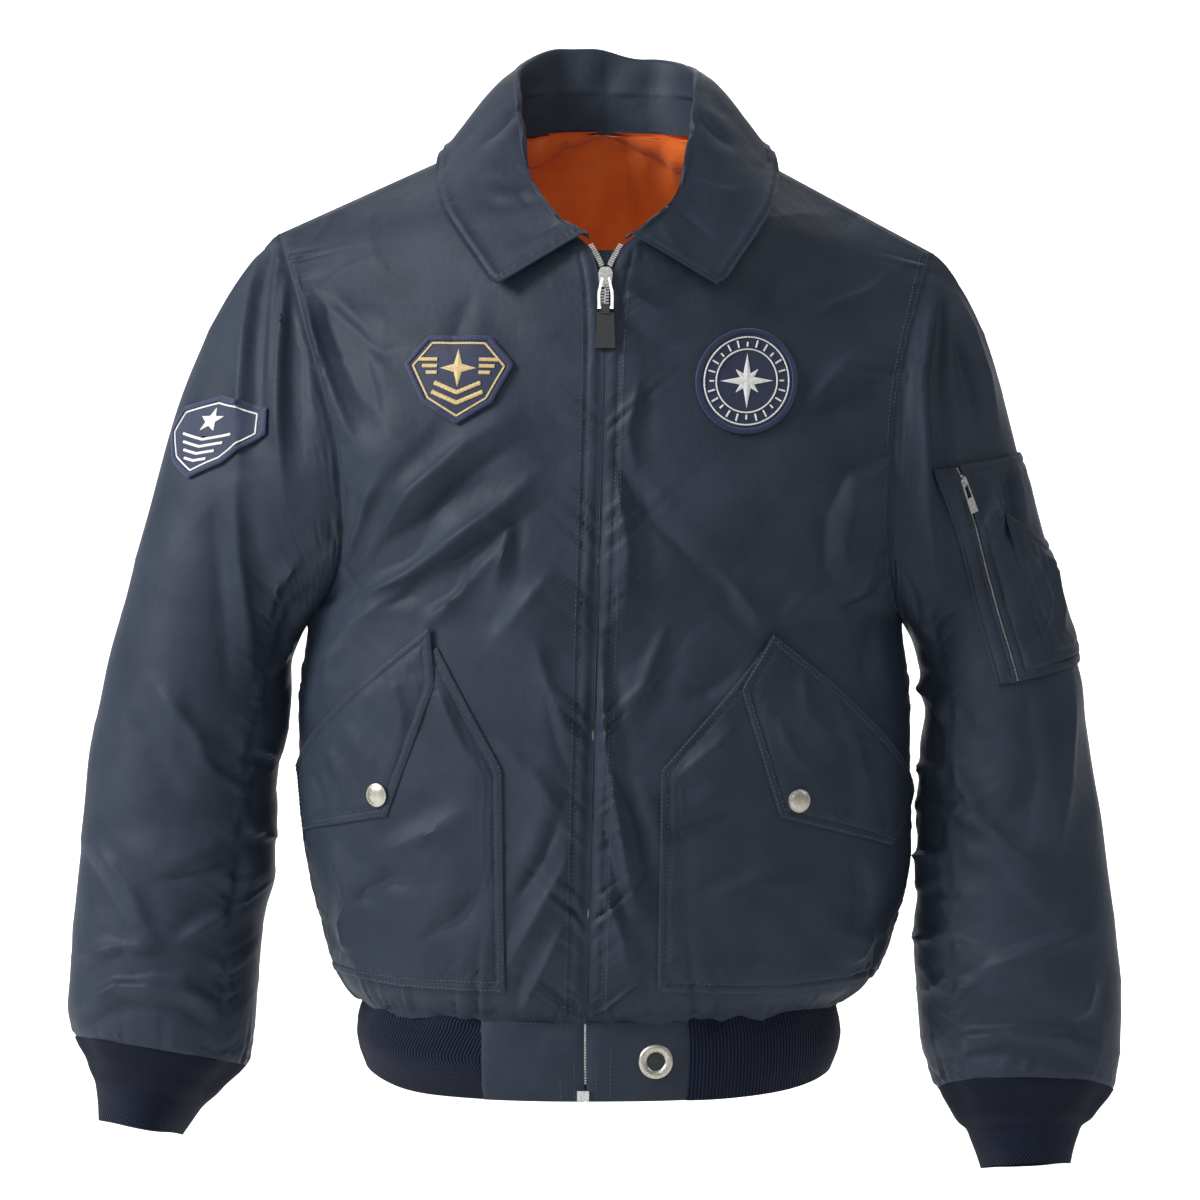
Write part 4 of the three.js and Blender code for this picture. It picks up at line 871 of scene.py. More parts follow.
# Materials
class Shader:
    """A material whose nodes are built a line at a time."""

    def __init__(self, name, **sockets):
        self.material = bpy.data.materials.new(name)
        self.material.use_nodes = True
        self.nodes = self.material.node_tree.nodes
        self.links = self.material.node_tree.links
        self.surface = self.nodes["Principled BSDF"]
        self.coordinates = self.nodes.new("ShaderNodeTexCoord")
        for socket, value in sockets.items():
            self.surface.inputs[socket.replace("_", " ")].default_value = value
        self.relief = None

    def add(self, kind, **inputs):
        node = self.nodes.new(kind)
        for name, value in inputs.items():
            socket = node.inputs[name.replace("_", " ")]
            if isinstance(value, bpy.types.NodeSocket):
                self.links.new(value, socket)
            else:
                socket.default_value = value
        return node

    def noise(self, scale, detail=4, roughness=0.55, stretch=None):
        vector = self.coordinates.outputs["Object"]
        if stretch:
            vector = self.add("ShaderNodeMapping", Vector=vector, Scale=stretch).outputs["Vector"]
        node = self.add("ShaderNodeTexNoise", Vector=vector, Scale=scale, Detail=detail, Roughness=roughness)
        return node.outputs["Fac"]

    def stripes(self, pitch, across="X", distortion=0.0, source="UV"):
        vector = self.coordinates.outputs[source]
        node = self.add("ShaderNodeTexWave", Vector=vector, Scale=2 * math.pi / 20 / pitch, Distortion=distortion)
        node.bands_direction = across
        node.inputs["Detail"].default_value = 1
        return node.outputs["Fac"]

    def ramp(self, factor, *stops):
        node = self.add("ShaderNodeValToRGB", Fac=factor)
        ramp = node.color_ramp
        while len(ramp.elements) < len(stops):
            ramp.elements.new(0.5)
        for element, (at, colour) in zip(ramp.elements, stops):
            element.position = at
            element.color = (*colour, 1)
        return node.outputs["Color"]

    def range(self, factor, low, high):
        node = self.add("ShaderNodeMapRange", Value=factor)
        node.inputs["To Min"].default_value = low
        node.inputs["To Max"].default_value = high
        return node.outputs["Result"]

    def bump(self, factor, depth, strength=1.0):
        node = self.add("ShaderNodeBump", Height=factor, Distance=depth * MM, Strength=strength)
        if self.relief is not None:
            self.links.new(self.relief, node.inputs["Normal"])
        self.relief = node.outputs["Normal"]

    def finish(self, colour=None, roughness=None):
        if colour is not None:
            self.links.new(colour, self.surface.inputs["Base Color"])
        if roughness is not None:
            self.links.new(roughness, self.surface.inputs["Roughness"])
        if self.relief is not None:
            self.links.new(self.relief, self.surface.inputs["Normal"])
        return self.material


NAVY = (0.021, 0.029, 0.045)
NAVY_DARK = (0.016, 0.022, 0.036)
NAVY_LIGHT = (0.026, 0.035, 0.053)


def nylon(name, dark, mid, light):
    cloth = Shader(name, Sheen_Weight=0.03, Sheen_Roughness=0.4, Specular_IOR_Level=0.22)
    cloth.surface.inputs["Sheen Tint"].default_value = (0.5, 0.65, 1, 1)
    wrinkles = cloth.noise(60, 5, 0.6, (1, 1, 0.6))
    weave = cloth.noise(1500, 2, 0.5, (1, 1, 0.35))
    cloth.bump(wrinkles, 1.3, 0.55)
    cloth.bump(cloth.noise(190, 3, 0.5, (1, 1, 0.55)), 0.32, 0.5)
    cloth.bump(weave, 0.12, 0.5)
    colour = cloth.ramp(cloth.noise(22, 4, 0.6), (0.3, dark), (0.52, mid), (0.75, light))
    return cloth.finish(colour, cloth.range(weave, 0.52, 0.64))


SHELL_CLOTH = nylon("navy nylon", NAVY_DARK, NAVY, NAVY_LIGHT)
FLAP_SHELL = nylon("navy nylon, pockets", NAVY_DARK, NAVY, NAVY_LIGHT)


def rib_knit():
    knit = Shader("rib knit", Sheen_Weight=0.04, Sheen_Roughness=0.5, Specular_IOR_Level=0.12)
    ribs = knit.stripes(2.6, "X", 0.0)
    loops = knit.noise(900, 2, 0.5, (1, 1, 0.4))
    knit.bump(ribs, 0.9, 0.9)
    knit.bump(loops, 0.2, 0.4)
    knit.bump(knit.noise(420, 3), 0.2, 0.4)
    # The colour follows the ribs: darker in the hollows between them and lighter on their tops. This is painted shade
    # and painted highlight on one navy yarn.
    colour = knit.ramp(ribs, (0.1, (0.002, 0.003, 0.008)), (0.6, (0.006, 0.010, 0.026)), (1, (0.010, 0.016, 0.040)))
    return knit.finish(colour, knit.range(loops, 0.75, 0.9))


RIB = rib_knit()


def orange_lining():
    cloth = Shader("orange lining", Sheen_Weight=0.2, Specular_IOR_Level=0.6)
    cloth.bump(cloth.noise(55, 4, 0.6, (1, 1, 0.5)), 1.8, 0.7)
    cloth.bump(cloth.noise(1300, 2), 0.1, 0.4)
    colour = cloth.ramp(cloth.noise(30, 4), (0.3, (0.80, 0.15, 0.018)), (0.7, (0.95, 0.21, 0.03)))
    return cloth.finish(colour, cloth.range(cloth.noise(40, 3), 0.34, 0.5))


LINING = orange_lining()


def thread(name, dark, light, shine=0.5):
    cloth = Shader(name, Sheen_Weight=0.3, Specular_IOR_Level=shine)
    strands = cloth.noise(2600, 2, 0.5, (1, 1, 0.3))
    cloth.bump(strands, 0.2, 0.7)
    return cloth.finish(cloth.ramp(strands, (0.35, dark), (0.65, light)), cloth.range(strands, 0.45, 0.7))


NAVY_THREAD = thread("navy thread", (0.020, 0.026, 0.045), (0.065, 0.078, 0.11))
GOLD_THREAD = thread("gold thread", (0.36, 0.24, 0.08), (0.66, 0.50, 0.22), 0.8)
WHITE_THREAD = thread("white thread", (0.52, 0.52, 0.50), (0.80, 0.80, 0.77))
PATCH_NAVY = thread("patch twill", (0.006, 0.010, 0.030), (0.018, 0.026, 0.070), 0.3)
ZIP_TAPE = thread("zip tape", (0.008, 0.010, 0.016), (0.020, 0.024, 0.034), 0.3)


def worn_metal(name, dark, light, roughness, grain, pits=0.0):
    metal = Shader(name, Metallic=1.0)
    scratches = metal.noise(grain, 5, 0.65)
    metal.bump(scratches, 0.08, 0.5)
    if pits:
        metal.bump(metal.noise(900, 3, 0.7), pits, 0.8)
    colour = metal.ramp(scratches, (0.32, dark), (0.62, light))
    return metal.finish(colour, metal.range(scratches, roughness - 0.08, roughness + 0.14))


ZIP_METAL = worn_metal("zip metal", (0.50, 0.50, 0.49), (0.92, 0.92, 0.90), 0.3, 700)
SNAP_METAL = worn_metal("worn snap metal", (0.36, 0.32, 0.24), (0.68, 0.66, 0.60), 0.36, 1100, 0.12)
DARK_METAL = worn_metal("painted puller", (0.020, 0.021, 0.023), (0.034, 0.036, 0.039), 0.5, 500)
DARK_METAL.node_tree.nodes["Principled BSDF"].inputs["Metallic"].default_value = 0.35

CLOTH_SIDES = [SHELL_CLOTH, LINING]


def declare(piece, flat, replaced=()):
    """Hides the solids of the nodes that a cloth piece stands for. Its cut in millimetres is not used."""
    if replaced:
        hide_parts(*replaced)
    flat = tuple(side * MM for side in flat)
    return piece


# Body panels
FRONT_GRID = (120, 270)
BACK_GRID = (80, 150)
collar_ground = []
# The front edges close over the teeth but for short stretches: their height and length
CLOSURE_GAP = 2.1
TEETH_SHOW = [(-300, 9), (-420, 11), (-545, 9)]


def body_grid(half, across, rows):
    points = body_point(half.face, half.side, across, rows[:, None])
    normals = grid_normals(points, False, half.outward < 0)
    droop = 2.2 + 1.5 * np.sin(points[..., :1] / 6 + 1.8 * np.sin(points[..., :1] / 15))
    points = points - point(0, 0, 1) * droop * bell(rows / 0.16)[:, None, None]
    if half.face == "front":
        from_edge = np.abs(points[..., :1] - closure_x(points[..., 2:]))
        shut = CLOSURE_GAP - 1.2 * sum(bell((points[..., 2:] - z) / wide) for z, wide in TEETH_SHOW)
        closed = ease((ARMPIT + 5 - rows) / 1.5)[:, None, None]
        points = points - [half.side, 0, 0] * shut * bell(from_edge / 7) * closed
    return points + normals * half.height(points)[..., None]


def panel_rows(face, side, count):
    rows = np.linspace(0, SHOULDER, 400)
    return even_rows((rows, body_point(face, side, 0.6, rows)), count)


def uv_of(grid):
    return np.stack([run_along(grid, 1), run_along(grid, 0)], -1)


for side in (-1, 1):
    half = HALVES["front", side]
    rows = panel_rows("front", side, FRONT_GRID[1])
    grid = body_grid(half, dense_ends(FRONT_GRID[0]), rows)
    collar_ground.append((grid, grid_normals(grid, False, side < 0)))
    front = shell(f"front_{side_name(side)}.cloth", grid, SHELL, CLOTH_SIDES, turned=side < 0, uv=uv_of(grid))
    declare(front, (310, 690), [f"front_{side_name(side)}"])

back_rows = panel_rows("back", 1, BACK_GRID[1])
back_halves = {side: body_grid(HALVES["back", side], dense_ends(BACK_GRID[0], 0.3), back_rows) for side in (-1, 1)}
back_grid = np.hstack([back_halves[1][:, :0:-1], back_halves[-1]])
collar_ground.append((back_grid, grid_normals(back_grid, False, False)))
back = shell("back.cloth", back_grid, SHELL, CLOTH_SIDES, uv=uv_of(back_grid), neck=True)
declare(back, (600, 710), ["back"])

# Sleeves and cuffs
SLEEVE_GRID = (136, 200)
for side in (-1, 1):
    sleeve, name = SLEEVES[side], side_name(side)
    rows = np.linspace(0, SLEEVE_END, 300)
    down = even_rows((rows, sleeve_point(side, rows, 30)), SLEEVE_GRID[1], 0.35)
    around = np.linspace(-180, 180, SLEEVE_GRID[0] + 1)[:-1]
    points = sleeve_point(side, down[:, None], around)
    normals = grid_normals(points, True, side < 0)
    grid = points + normals * sleeve.height(points, np.broadcast_to(around, points.shape[:2]))[..., None]
    tube = shell(f"sleeve_{name}.cloth", grid, SHELL, CLOTH_SIDES, turned=side < 0, closed=True, uv=uv_of(grid))
    declare(tube, (430, 640), [f"sleeve_{name}_top", f"sleeve_{name}_under"])

    cuff_down = np.linspace(0, 4, 26)
    points = ring_point(CUFF_RINGS[name], side, cuff_down[:, None] + 0 * around, around + 0 * cuff_down[:, None])
    normals = grid_normals(points, True, side < 0)
    part = cuff_down[:, None] / 4
    turn = np.radians(around)
    wave = 1.3 * np.sin(7 * turn + 1.5 * np.sin(2 * turn)) * bell((part - 0.1) / 0.25)
    roll = 1.2 * bell((part - 0.32) / 0.10) - 1.3 * bell((part - 0.42) / 0.09) * (0.6 + 0.4 * np.sin(2 * turn + side))
    scallop = 1.4 * np.sin(4 * turn + 0.7) * part
    grid = points + normals * (wave + roll + scallop + 0.8 * ease(part / 0.08))[..., None]
    cuff = shell(f"cuff_{name}.knit", grid, KNIT, [RIB, RIB], turned=side < 0, closed=True, uv=uv_of(grid))
    declare(cuff, (300, 62), [f"cuff_{name}"])

# Hem: a rib between two woven blocks
HEM_DROP = 0.4
HEM_SWELL = [1, 1.018, 1.022, 1.01, 0.985]
BLOCK_WIDE = 59
HEM_ROWS = 16


def hem_point(face, side, t, part):
    top = body_point(face, side, t, 0)
    bottom = HEM_SIDE_Z + (HEM_FRONT_Z - HEM_SIDE_Z) * ease(-top[..., 1] / 100)
    drop = top[..., 2] - HEM_DROP
    swell = np.interp(part, np.linspace(0, 1, len(HEM_SWELL)), HEM_SWELL)
    middle = HEM_MIDDLE / 2
    return point(middle + (top[..., 0] - middle) * swell, top[..., 1] * swell, drop + (bottom - drop) * part)


def block_end(side):
    return BLOCK_WIDE / path_length(HALVES["front", side].hem)


def hem_grid(places):
    part = np.linspace(0, 1, HEM_ROWS)[:, None]
    return np.hstack([hem_point(face, side, t[None, :], part) for face, side, t in places])


def tucked(grid, normals):
    """The grid with two more rows at its top, which run on up behind the cloth of the body."""
    top = 0 if grid[0, 0, 2] > grid[-1, 0, 2] else -1
    first = grid[top] + point(0, 0, 3) - 1.5 * normals[top]
    rows = [first[None], (first + point(0, 0, 4))[None]]
    return np.vstack([rows[1], rows[0], grid] if top == 0 else [grid, *rows])


hem_part = np.linspace(0, 1, HEM_ROWS)[:, None]
for side in (-1, 1):
    across = np.linspace(0.0025, block_end(side) - 0.002, 44)
    grid = hem_grid([("front", side, across if side > 0 else across[::-1])])
    normals = grid_normals(grid, False, True)
    run = run_along(grid, 1)
    edge = np.minimum(run, run[:, -1:] - run)
    from_edge = np.abs(grid[..., :1] - closure_x(grid[..., 2:]))
    grid = grid - [side * 1.5, 0, 0] * bell(from_edge / 7)
    sag = 0.9 * np.sin(run / 9 + 3 * hem_part) * bell((hem_part - 0.2) / 0.5) * ease(edge / 6)
    rounded = 0.8 * ease(np.minimum(edge, 58 * np.minimum(hem_part, 1 - hem_part)) / 3)
    grid = tucked(grid + normals * (sag + rounded)[..., None], normals)
    block = shell(f"hem_block_{side_name(side)}.cloth", grid, 2.0, [SHELL_CLOTH, SHELL_CLOTH], turned=True, uv=uv_of(grid))
    declare(block, (62, 70), [f"hem_block_{side_name(side)}"])

full = np.linspace(0, 1, 110)
rib_grid = hem_grid(
    [
        ("front", 1, np.linspace(block_end(1) - 0.03, 1, 90)),
        ("back", 1, full[-2::-1]),
        ("back", -1, full[1:]),
        ("front", -1, np.linspace(1, block_end(-1) - 0.03, 90)[1:]),
    ]
)
rib_normals = grid_normals(rib_grid, False, True)
rib_run = run_along(rib_grid, 1)
rib_wave = 1.6 * np.sin(rib_run / 6.5 + 2 * np.sin(rib_run / 31)) * bell(hem_part / 0.22)
rib_roll = 1.2 * np.sin(rib_run / 46 + 1.2 * np.sin(rib_run / 27)) * hem_part + 1.4 * bell((hem_part - 0.55) / 0.4)
from_end = np.minimum(rib_run, rib_run[:, -1:] - rib_run)
rib_shown = ease(from_end / 6)
rib_grid = rib_grid + rib_normals * ((rib_wave + rib_roll) * rib_shown - 2.9 * (1 - rib_shown))[..., None]
rib_grid = tucked(rib_grid, rib_normals)
rib = shell("hem_rib.knit", rib_grid, KNIT, [RIB, RIB], turned=True, uv=uv_of(rib_grid))
declare(rib, (830, 60), ["hem_rib"])

# Collar: from the neckline up a stand, over the fold and down to the outer edge
COLLAR_END = 9
FOLD_SHARE = 0.3
ROLL = 26
CLOTH_CLEARANCE = COLLAR_PAD + LAY_GAP + 0.6
ground = KDTree(sum(grid.shape[0] * grid.shape[1] for grid, _ in collar_ground))
ground_points = np.vstack([grid.reshape(-1, 3) for grid, _ in collar_ground])
ground_normals = np.vstack([normals.reshape(-1, 3) for _, normals in collar_ground])
for i in np.flatnonzero(ground_points[:, 2] > -230):
    ground.insert(Vector(ground_points[i]), int(i))
ground.balance()


def lifted(points, clearance):
    """Points moved out where they lie closer over the body's cloth than a clearance."""
    flat, needed = points.reshape(-1, 3), np.broadcast_to(clearance, points.shape[:-1]).ravel()
    out = flat.copy()
    for i in np.flatnonzero(needed > 0):
        _, j, _ = ground.find(Vector(flat[i]))
        height = (flat[i] - ground_points[j]) @ ground_normals[j]
        if height < needed[i]:
            out[i] = flat[i] + ground_normals[j] * (needed[i] - height)
    return out.reshape(points.shape)


def collar_point(side, t, part):
    """part runs from -1 at the neckline through 0 on the stand to 1 at the outer edge."""
    t, part = np.broadcast_arrays(t, part)
    row = COLLAR_ROWS(t)

    def at(name):
        return point(NECK_MIDDLE + 1 + side * row[f"{name}X"], row[f"{name}Y"], row[f"{name}Z"])

    neck, mid, fold, edge = at("neck"), at("mid"), at("fold"), at("edge")
    fall = edge - fold
    lift = np.clip(np.linalg.norm(fold - mid, axis=-1) / 30, 0.25, 1)[..., None]
    over = unit(fall * [1, 1, 0]) * ROLL * lift
    low = mix(mid, neck, (np.maximum(-part, 0) * ease((6 - t) / 1.5))[..., None])
    rise = cubic(mid, fold - mid, fold, over * 0.4, np.clip(part / FOLD_SHARE, 0, 1))
    f = np.clip((part - FOLD_SHARE) / (1 - FOLD_SHARE), 0, 1)
    down = cubic(fold, over, edge, fall * 0.8, f)
    p = np.where((part <= 0)[..., None], low, np.where((part <= FOLD_SHARE)[..., None], rise, down))
    needed = np.where(t > 6, CLOTH_CLEARANCE * ease(f * 4 + 0.4), np.where(f > 0.3, CLOTH_CLEARANCE, 0))
    return lifted(p, np.where(part > FOLD_SHARE, needed, 0))


collar_along = COLLAR_END * (1 - (1 - np.linspace(0, 1, 110)) ** 1.25)
collar_parts = np.concatenate([np.linspace(-1, 0, 16)[:-1], np.linspace(0, 0.34, 16)[:-1], 0.34 + 0.66 * dense_ends(46)])
half_grids = {side: collar_point(side, collar_along[:, None], collar_parts) for side in (-1, 1)}
collar_grid = np.vstack([half_grids[1][:0:-1], half_grids[-1]])
collar_t = np.concatenate([collar_along[:0:-1], collar_along])[:, None]
sag = ease((np.abs(collar_grid[..., 0] + 18) - 10) / 42) * bell((collar_parts - 0.28) / 0.25) * ease((4.5 - collar_t) / 2)
collar_grid = collar_grid - point(0, 0, 8 * sag)
collar_edge = np.vstack([collar_grid[0], collar_grid[:, -1], collar_grid[-1][::-1]])
collar_edge = collar_edge[::3]
collar_normals = grid_normals(collar_grid, False, True)
edge_gap, edge_along, _ = near_path(collar_grid, collar_edge)
over_fall = ease((collar_parts - 0.25) / 0.12)
EDGE_BAND = 6


def edge_profile(gap, along, band=EDGE_BAND, puff=0.8):
    """A rounded edge, a raised stitched band along it, and the sunken row where the band ends."""
    pucker = 0.30 * np.sin(along / 0.95 + 1.7 * np.sin(along / 4.1)) * bell((gap - band) / 3)
    return puff * ease(gap / 2.5) - 0.75 * bell((gap - band) / 1.1) + puff * ease((gap - band) / 7) + pucker


collar_height = edge_profile(edge_gap, edge_along) * over_fall
collar_height += crease_height(collar_grid, COLLAR_CREASES) * over_fall * ease(edge_gap / 8) * (collar_grid[..., 1] < 20)
collar_height += 0.5 * ripple(collar_grid * 1.6) * ease(edge_gap / 10)
stand_run = run_along(collar_grid, 0)
stand_line = np.abs(collar_parts + 0.02)
on_stand = bell((collar_parts - 0.1) / 0.16)
collar_height += 1.1 * on_stand * np.sin(stand_run / 8 + 1.6 * np.sin(stand_run / 21) + 2 * collar_parts)
collar_height -= 0.8 * bell(stand_line / 0.05) * (0.8 + 0.3 * np.sin(stand_run / 5))
front_closing = 1 - 0.5 * ease((-collar_grid[..., 1] - 20) / 60) * ease((90 - np.abs(collar_grid[..., 0] - 5)) / 30)
collar_grid = collar_grid + collar_normals * collar_height[..., None]
foot = collar_grid[:, :1] - point(0, 0, 4.5) * ease((5 - collar_t) / 1.5)[..., None]
footed = np.concatenate([foot, collar_grid], axis=1)
collar_thick = (COLLAR_PAD - 0.4) * np.hstack([front_closing[:, :1], front_closing])
collar = shell("collar.cloth", footed, collar_thick, [SHELL_CLOTH, SHELL_CLOTH], turned=True, uv=uv_of(footed))
declare(collar, (640, 175), ["collar_fall", "collar_stand"])

# Lining inside the back, hung from the neck
LINING_CREASES = [
    (2.2, 9, (-40, 4), (-52, -40), (-44, -90)),
    (-2.0, 7, (-24, 6), (-30, -30), (-22, -70)),
    (2.0, 9, (-6, 6), (4, -34), (-8, -92)),
    (2.4, 10, (38, 5), (30, -40), (44, -100)),
    (-2.2, 8, (18, 6), (22, -40), (12, -84)),
    (2.0, 8, (60, 0), (54, -40), (70, -90)),
    (1.8, 12, (-60, -60), (0, -104), (70, -80)),
    (-1.8, 10, (-70, -100), (10, -140), (80, -120)),
]
LINING_DEEP = 4.6
lining_rows = np.linspace(8.6, 13.97, 56)
lining_across = np.linspace(0, 0.72, 42)
lining_halves = {side: body_point("back", side, lining_across, lining_rows[:, None]) for side in (-1, 1)}
lining_grid = np.hstack([lining_halves[1][:, :0:-1], lining_halves[-1]])
lining_normals = grid_normals(lining_grid, False, True)
neck_line = lining_grid[-1]
lining_height = LINING_DEEP + crease_height(lining_grid, LINING_CREASES) + 0.6 * ripple(lining_grid * 1.4)
lining_height += puckers(near_path(lining_grid, neck_line[::4]), 7, 1.0, 13)
lining_grid = lining_grid + lining_normals * lining_height[..., None]
lining = shell("lining_back.cloth", lining_grid, 0.8, [LINING, LINING], True, uv=uv_of(lining_grid), neck=True)
declare(lining, (450, 255), ["lining_back"])


# Pieces laid on the cloth
def along_edge(edge, f):
    """A place part of the way along an edge, which is a list of places."""
    edge = np.asarray(edge, float)
    at = np.clip(f, 0, 1) * (len(edge) - 1)
    return np.stack([np.interp(at, np.arange(len(edge)), edge[:, c]) for c in (0, 1)], -1)


class Region:
    """A region of cloth between four edges. scale turns its first coordinate to millimetres."""

    def __init__(self, cloth, bottom, top, inner, outer, scale=1.0):
        self.cloth, self.scale = cloth, scale
        self.bottom, self.top, self.inner, self.outer = bottom, top, inner, outer
        loop = [self.spot(u, v) for u, v in ((np.linspace(0, 1, 40), 0), (1, np.linspace(0, 1, 40)))]
        loop += [self.spot(u, v) for u, v in ((np.linspace(1, 0, 40), 1), (0, np.linspace(1, 0, 40)))]
        self.rim = np.vstack(loop) * [scale, 1]

    def spot(self, u, v):
        u, v = np.broadcast_arrays(np.asarray(u, float), np.asarray(v, float))
        uu, vv = u[..., None], v[..., None]
        sides = mix(along_edge(self.inner, v), along_edge(self.outer, v), uu)
        ends = mix(along_edge(self.bottom, u), along_edge(self.top, u), vv)
        bottom = mix(np.array(self.bottom[0], float), np.array(self.bottom[-1], float), uu)
        top = mix(np.array(self.top[0], float), np.array(self.top[-1], float), uu)
        return sides + ends - mix(bottom, top, vv)

    def inset(self, edge, gap, count=160):
        """Places along one edge, a gap in from it."""
        f = np.linspace(0.01, 0.99, count)
        scale = np.array([self.scale, 1])
        if edge in ("inner", "outer"):
            wide = np.linalg.norm((self.spot(1, f) - self.spot(0, f)) * scale, axis=-1)
            return self.spot(gap / wide if edge == "inner" else 1 - gap / wide, f)
        high = np.linalg.norm((self.spot(f, 1) - self.spot(f, 0)) * scale, axis=-1)
        return self.spot(f, gap / high if edge == "bottom" else 1 - gap / high)

    def surface(self, spots, base, creases=(), band=EDGE_BAND, puff=0.5):
        points, normals = self.cloth.on(spots[..., 0], spots[..., 1])
        gap, along, _ = near_path(spots * [self.scale, 1], self.rim)
        height = base + edge_profile(gap, along, band, puff)
        if len(creases):
            turn = math.pi * (along + 0.7 * gap) / 9
            tugs = 1.7 * np.abs(np.sin(turn + 0.9 * np.sin(turn / 2.3) + 0.6 * np.sin(turn / 0.83))) - 1
            free = 1.4 * crease_height(points, creases) + 0.8 * ripple(points * 1.9)
            inside = ease((gap - band) / 5)
            height = height + free * ease(gap / 9) + 1.1 * tugs * inside * np.exp(-gap / 20)
        return points + normals * height[..., None], normals


stitch_rows = {"navy": [], "white": []}


def lay(name, region, base, thickness, counts, material, creases=(), puff=0.5, band=EDGE_BAND):
    u, v = dense_ends(counts[0], 0.75), dense_ends(counts[1], 0.75)
    spots = region.spot(u[None, :], v[:, None])
    grid, _ = region.surface(spots, base, creases, band, puff)
    flipped = region.cloth.side < 0 if isinstance(region.cloth, BodyHalf) else True
    return shell(name, grid, thickness, [material, material], turned=flipped, uv=uv_of(grid))


def sew(region, base, edges, gaps, creases=(), puff=0.5, colour="navy"):
    for edge in edges:
        for gap in gaps:
            points, normals = region.surface(region.inset(edge, gap), base + 0.12, creases, EDGE_BAND, puff)
            stitch_rows[colour].append((points, normals))


POCKET_EDGES = {
    -1: dict(
        bottom=[(55, -601), (140, -600), (226, -596)],
        top=[(110, -360), (256, -464)],
        inner=[(55, -601), (61, -444), (110, -360)],
        outer=[(226, -596), (246, -560), (256, -464)],
    ),
    1: dict(
        bottom=[(48, -600), (140, -604), (250, -600)],
        top=[(116, -362), (277, -482)],
        inner=[(48, -600), (46, -444), (116, -362)],
        outer=[(250, -600), (270, -560), (277, -482)],
    ),
}
FLAP_EDGES = {
    -1: dict(
        bottom=[(144, -479), (237, -496)],
        top=[(115, -346), (250, -450)],
        inner=[(144, -479), (110, -387), (115, -346)],
        outer=[(237, -496), (250, -450)],
    ),
    1: dict(
        bottom=[(131, -479), (227, -504)],
        top=[(123, -351), (275, -468)],
        inner=[(131, -479), (100, -388), (123, -351)],
        outer=[(227, -504), (275, -468)],
    ),
}
POCKET_BASE = LAY_GAP + POCKET_CLOTH - 0.4
FLAP_BASE = POCKET_BASE + FLAP_LIFT + FLAP_CLOTH - 0.4
for side in (-1, 1):
    name = side_name(side)
    pocket = Region(HALVES["front", side], **POCKET_EDGES[side])
    panel = lay(f"pocket_{name}.cloth", pocket, POCKET_BASE, 1.0, (80, 84), FLAP_SHELL, POCKET_CREASES)
    declare(panel, (235, 250), [f"pocket_{name}"])
    sew(pocket, POCKET_BASE, ("bottom", "inner"), (1.4, EDGE_BAND), POCKET_CREASES)
    flap = Region(HALVES["front", side], **FLAP_EDGES[side])
    panel = lay(f"flap_{name}.cloth", flap, FLAP_BASE, 1.4, (66, 54), FLAP_SHELL, FLAP_CREASES, 0.7)
    declare(panel, (185, 160), [f"flap_{name}"])
    sew(flap, FLAP_BASE, ("bottom", "inner", "top", "outer"), (1.4, EDGE_BAND), FLAP_CREASES, 0.7)

# Left sleeve: pocket, pen pocket on it, and the zip's facing
onto_left_sleeve = SLEEVES[1]
ANGLE_MM = 1.1
sleeve_pocket = Region(
    onto_left_sleeve,
    bottom=[(81, -387), (40, -380), (-22, -372)],
    top=[(81, -235), (40, -230), (-22, -226)],
    inner=[(81, -387), (81, -235)],
    outer=[(-22, -372), (-22, -226)],
    scale=ANGLE_MM,
)
pen_pocket = Region(
    onto_left_sleeve,
    bottom=[(58, -376), (-14, -366)],
    top=[(58, -268), (22, -292), (-14, -290)],
    inner=[(58, -376), (58, -268)],
    outer=[(-14, -366), (-14, -290)],
    scale=ANGLE_MM,
)
facing = Region(
    onto_left_sleeve,
    bottom=[(97, -389), (83, -388)],
    top=[(97, -238), (83, -236)],
    inner=[(97, -389), (97, -238)],
    outer=[(83, -388), (83, -236)],
    scale=ANGLE_MM,
)
SLEEVE_POCKET_CREASES = traced(
    [
        (3, 6, (990, 478), (1000, 520), (992, 560)),
        (-2.5, 5, (1010, 470), (1014, 520), (1004, 548)),
        (2.5, 6, (984, 560), (996, 610), (990, 650)),
        (2.5, 5, (1000, 500), (984, 530), (978, 560)),
        (-2, 5, (1004, 600), (990, 640), (1002, 672)),
    ],
    -70,
)
PEN_CREASES = traced(
    [
        (2.6, 5, (1030, 560), (1044, 600), (1040, 650)),
        (-2.2, 5, (1012, 552), (1024, 600), (1020, 652)),
        (2.2, 5, (1050, 560), (1060, 610), (1062, 650)),
    ],
    -60,
)
panel = lay("sleeve_pocket.cloth", sleeve_pocket, POCKET_BASE, 1.0, (70, 80), FLAP_SHELL, SLEEVE_POCKET_CREASES)
declare(panel, (125, 165), ["sleeve_pocket"])
panel = lay("pen_pocket.cloth", pen_pocket, FLAP_BASE - 0.6, 1.0, (56, 60), FLAP_SHELL, PEN_CREASES)
declare(panel, (90, 110), ["pen_pocket"])
panel = lay("sleeve_zip_facing.cloth", facing, POCKET_BASE, 1.0, (24, 80), FLAP_SHELL, band=3)
declare(panel, (16, 152), ["sleeve_zip_facing"])
sew(sleeve_pocket, POCKET_BASE, ("bottom", "top", "inner"), (1.4, EDGE_BAND), SLEEVE_POCKET_CREASES)
sew(pen_pocket, FLAP_BASE - 0.6, ("bottom", "top", "inner", "outer"), (1.4, EDGE_BAND), PEN_CREASES)
for gap in (20, 26):
    across = pen_pocket.inset("inner", gap)
    stitch_rows["navy"].append(pen_pocket.surface(across, FLAP_BASE - 0.4, PEN_CREASES))
sew(facing, POCKET_BASE, ("bottom", "top", "inner"), (1.4,))


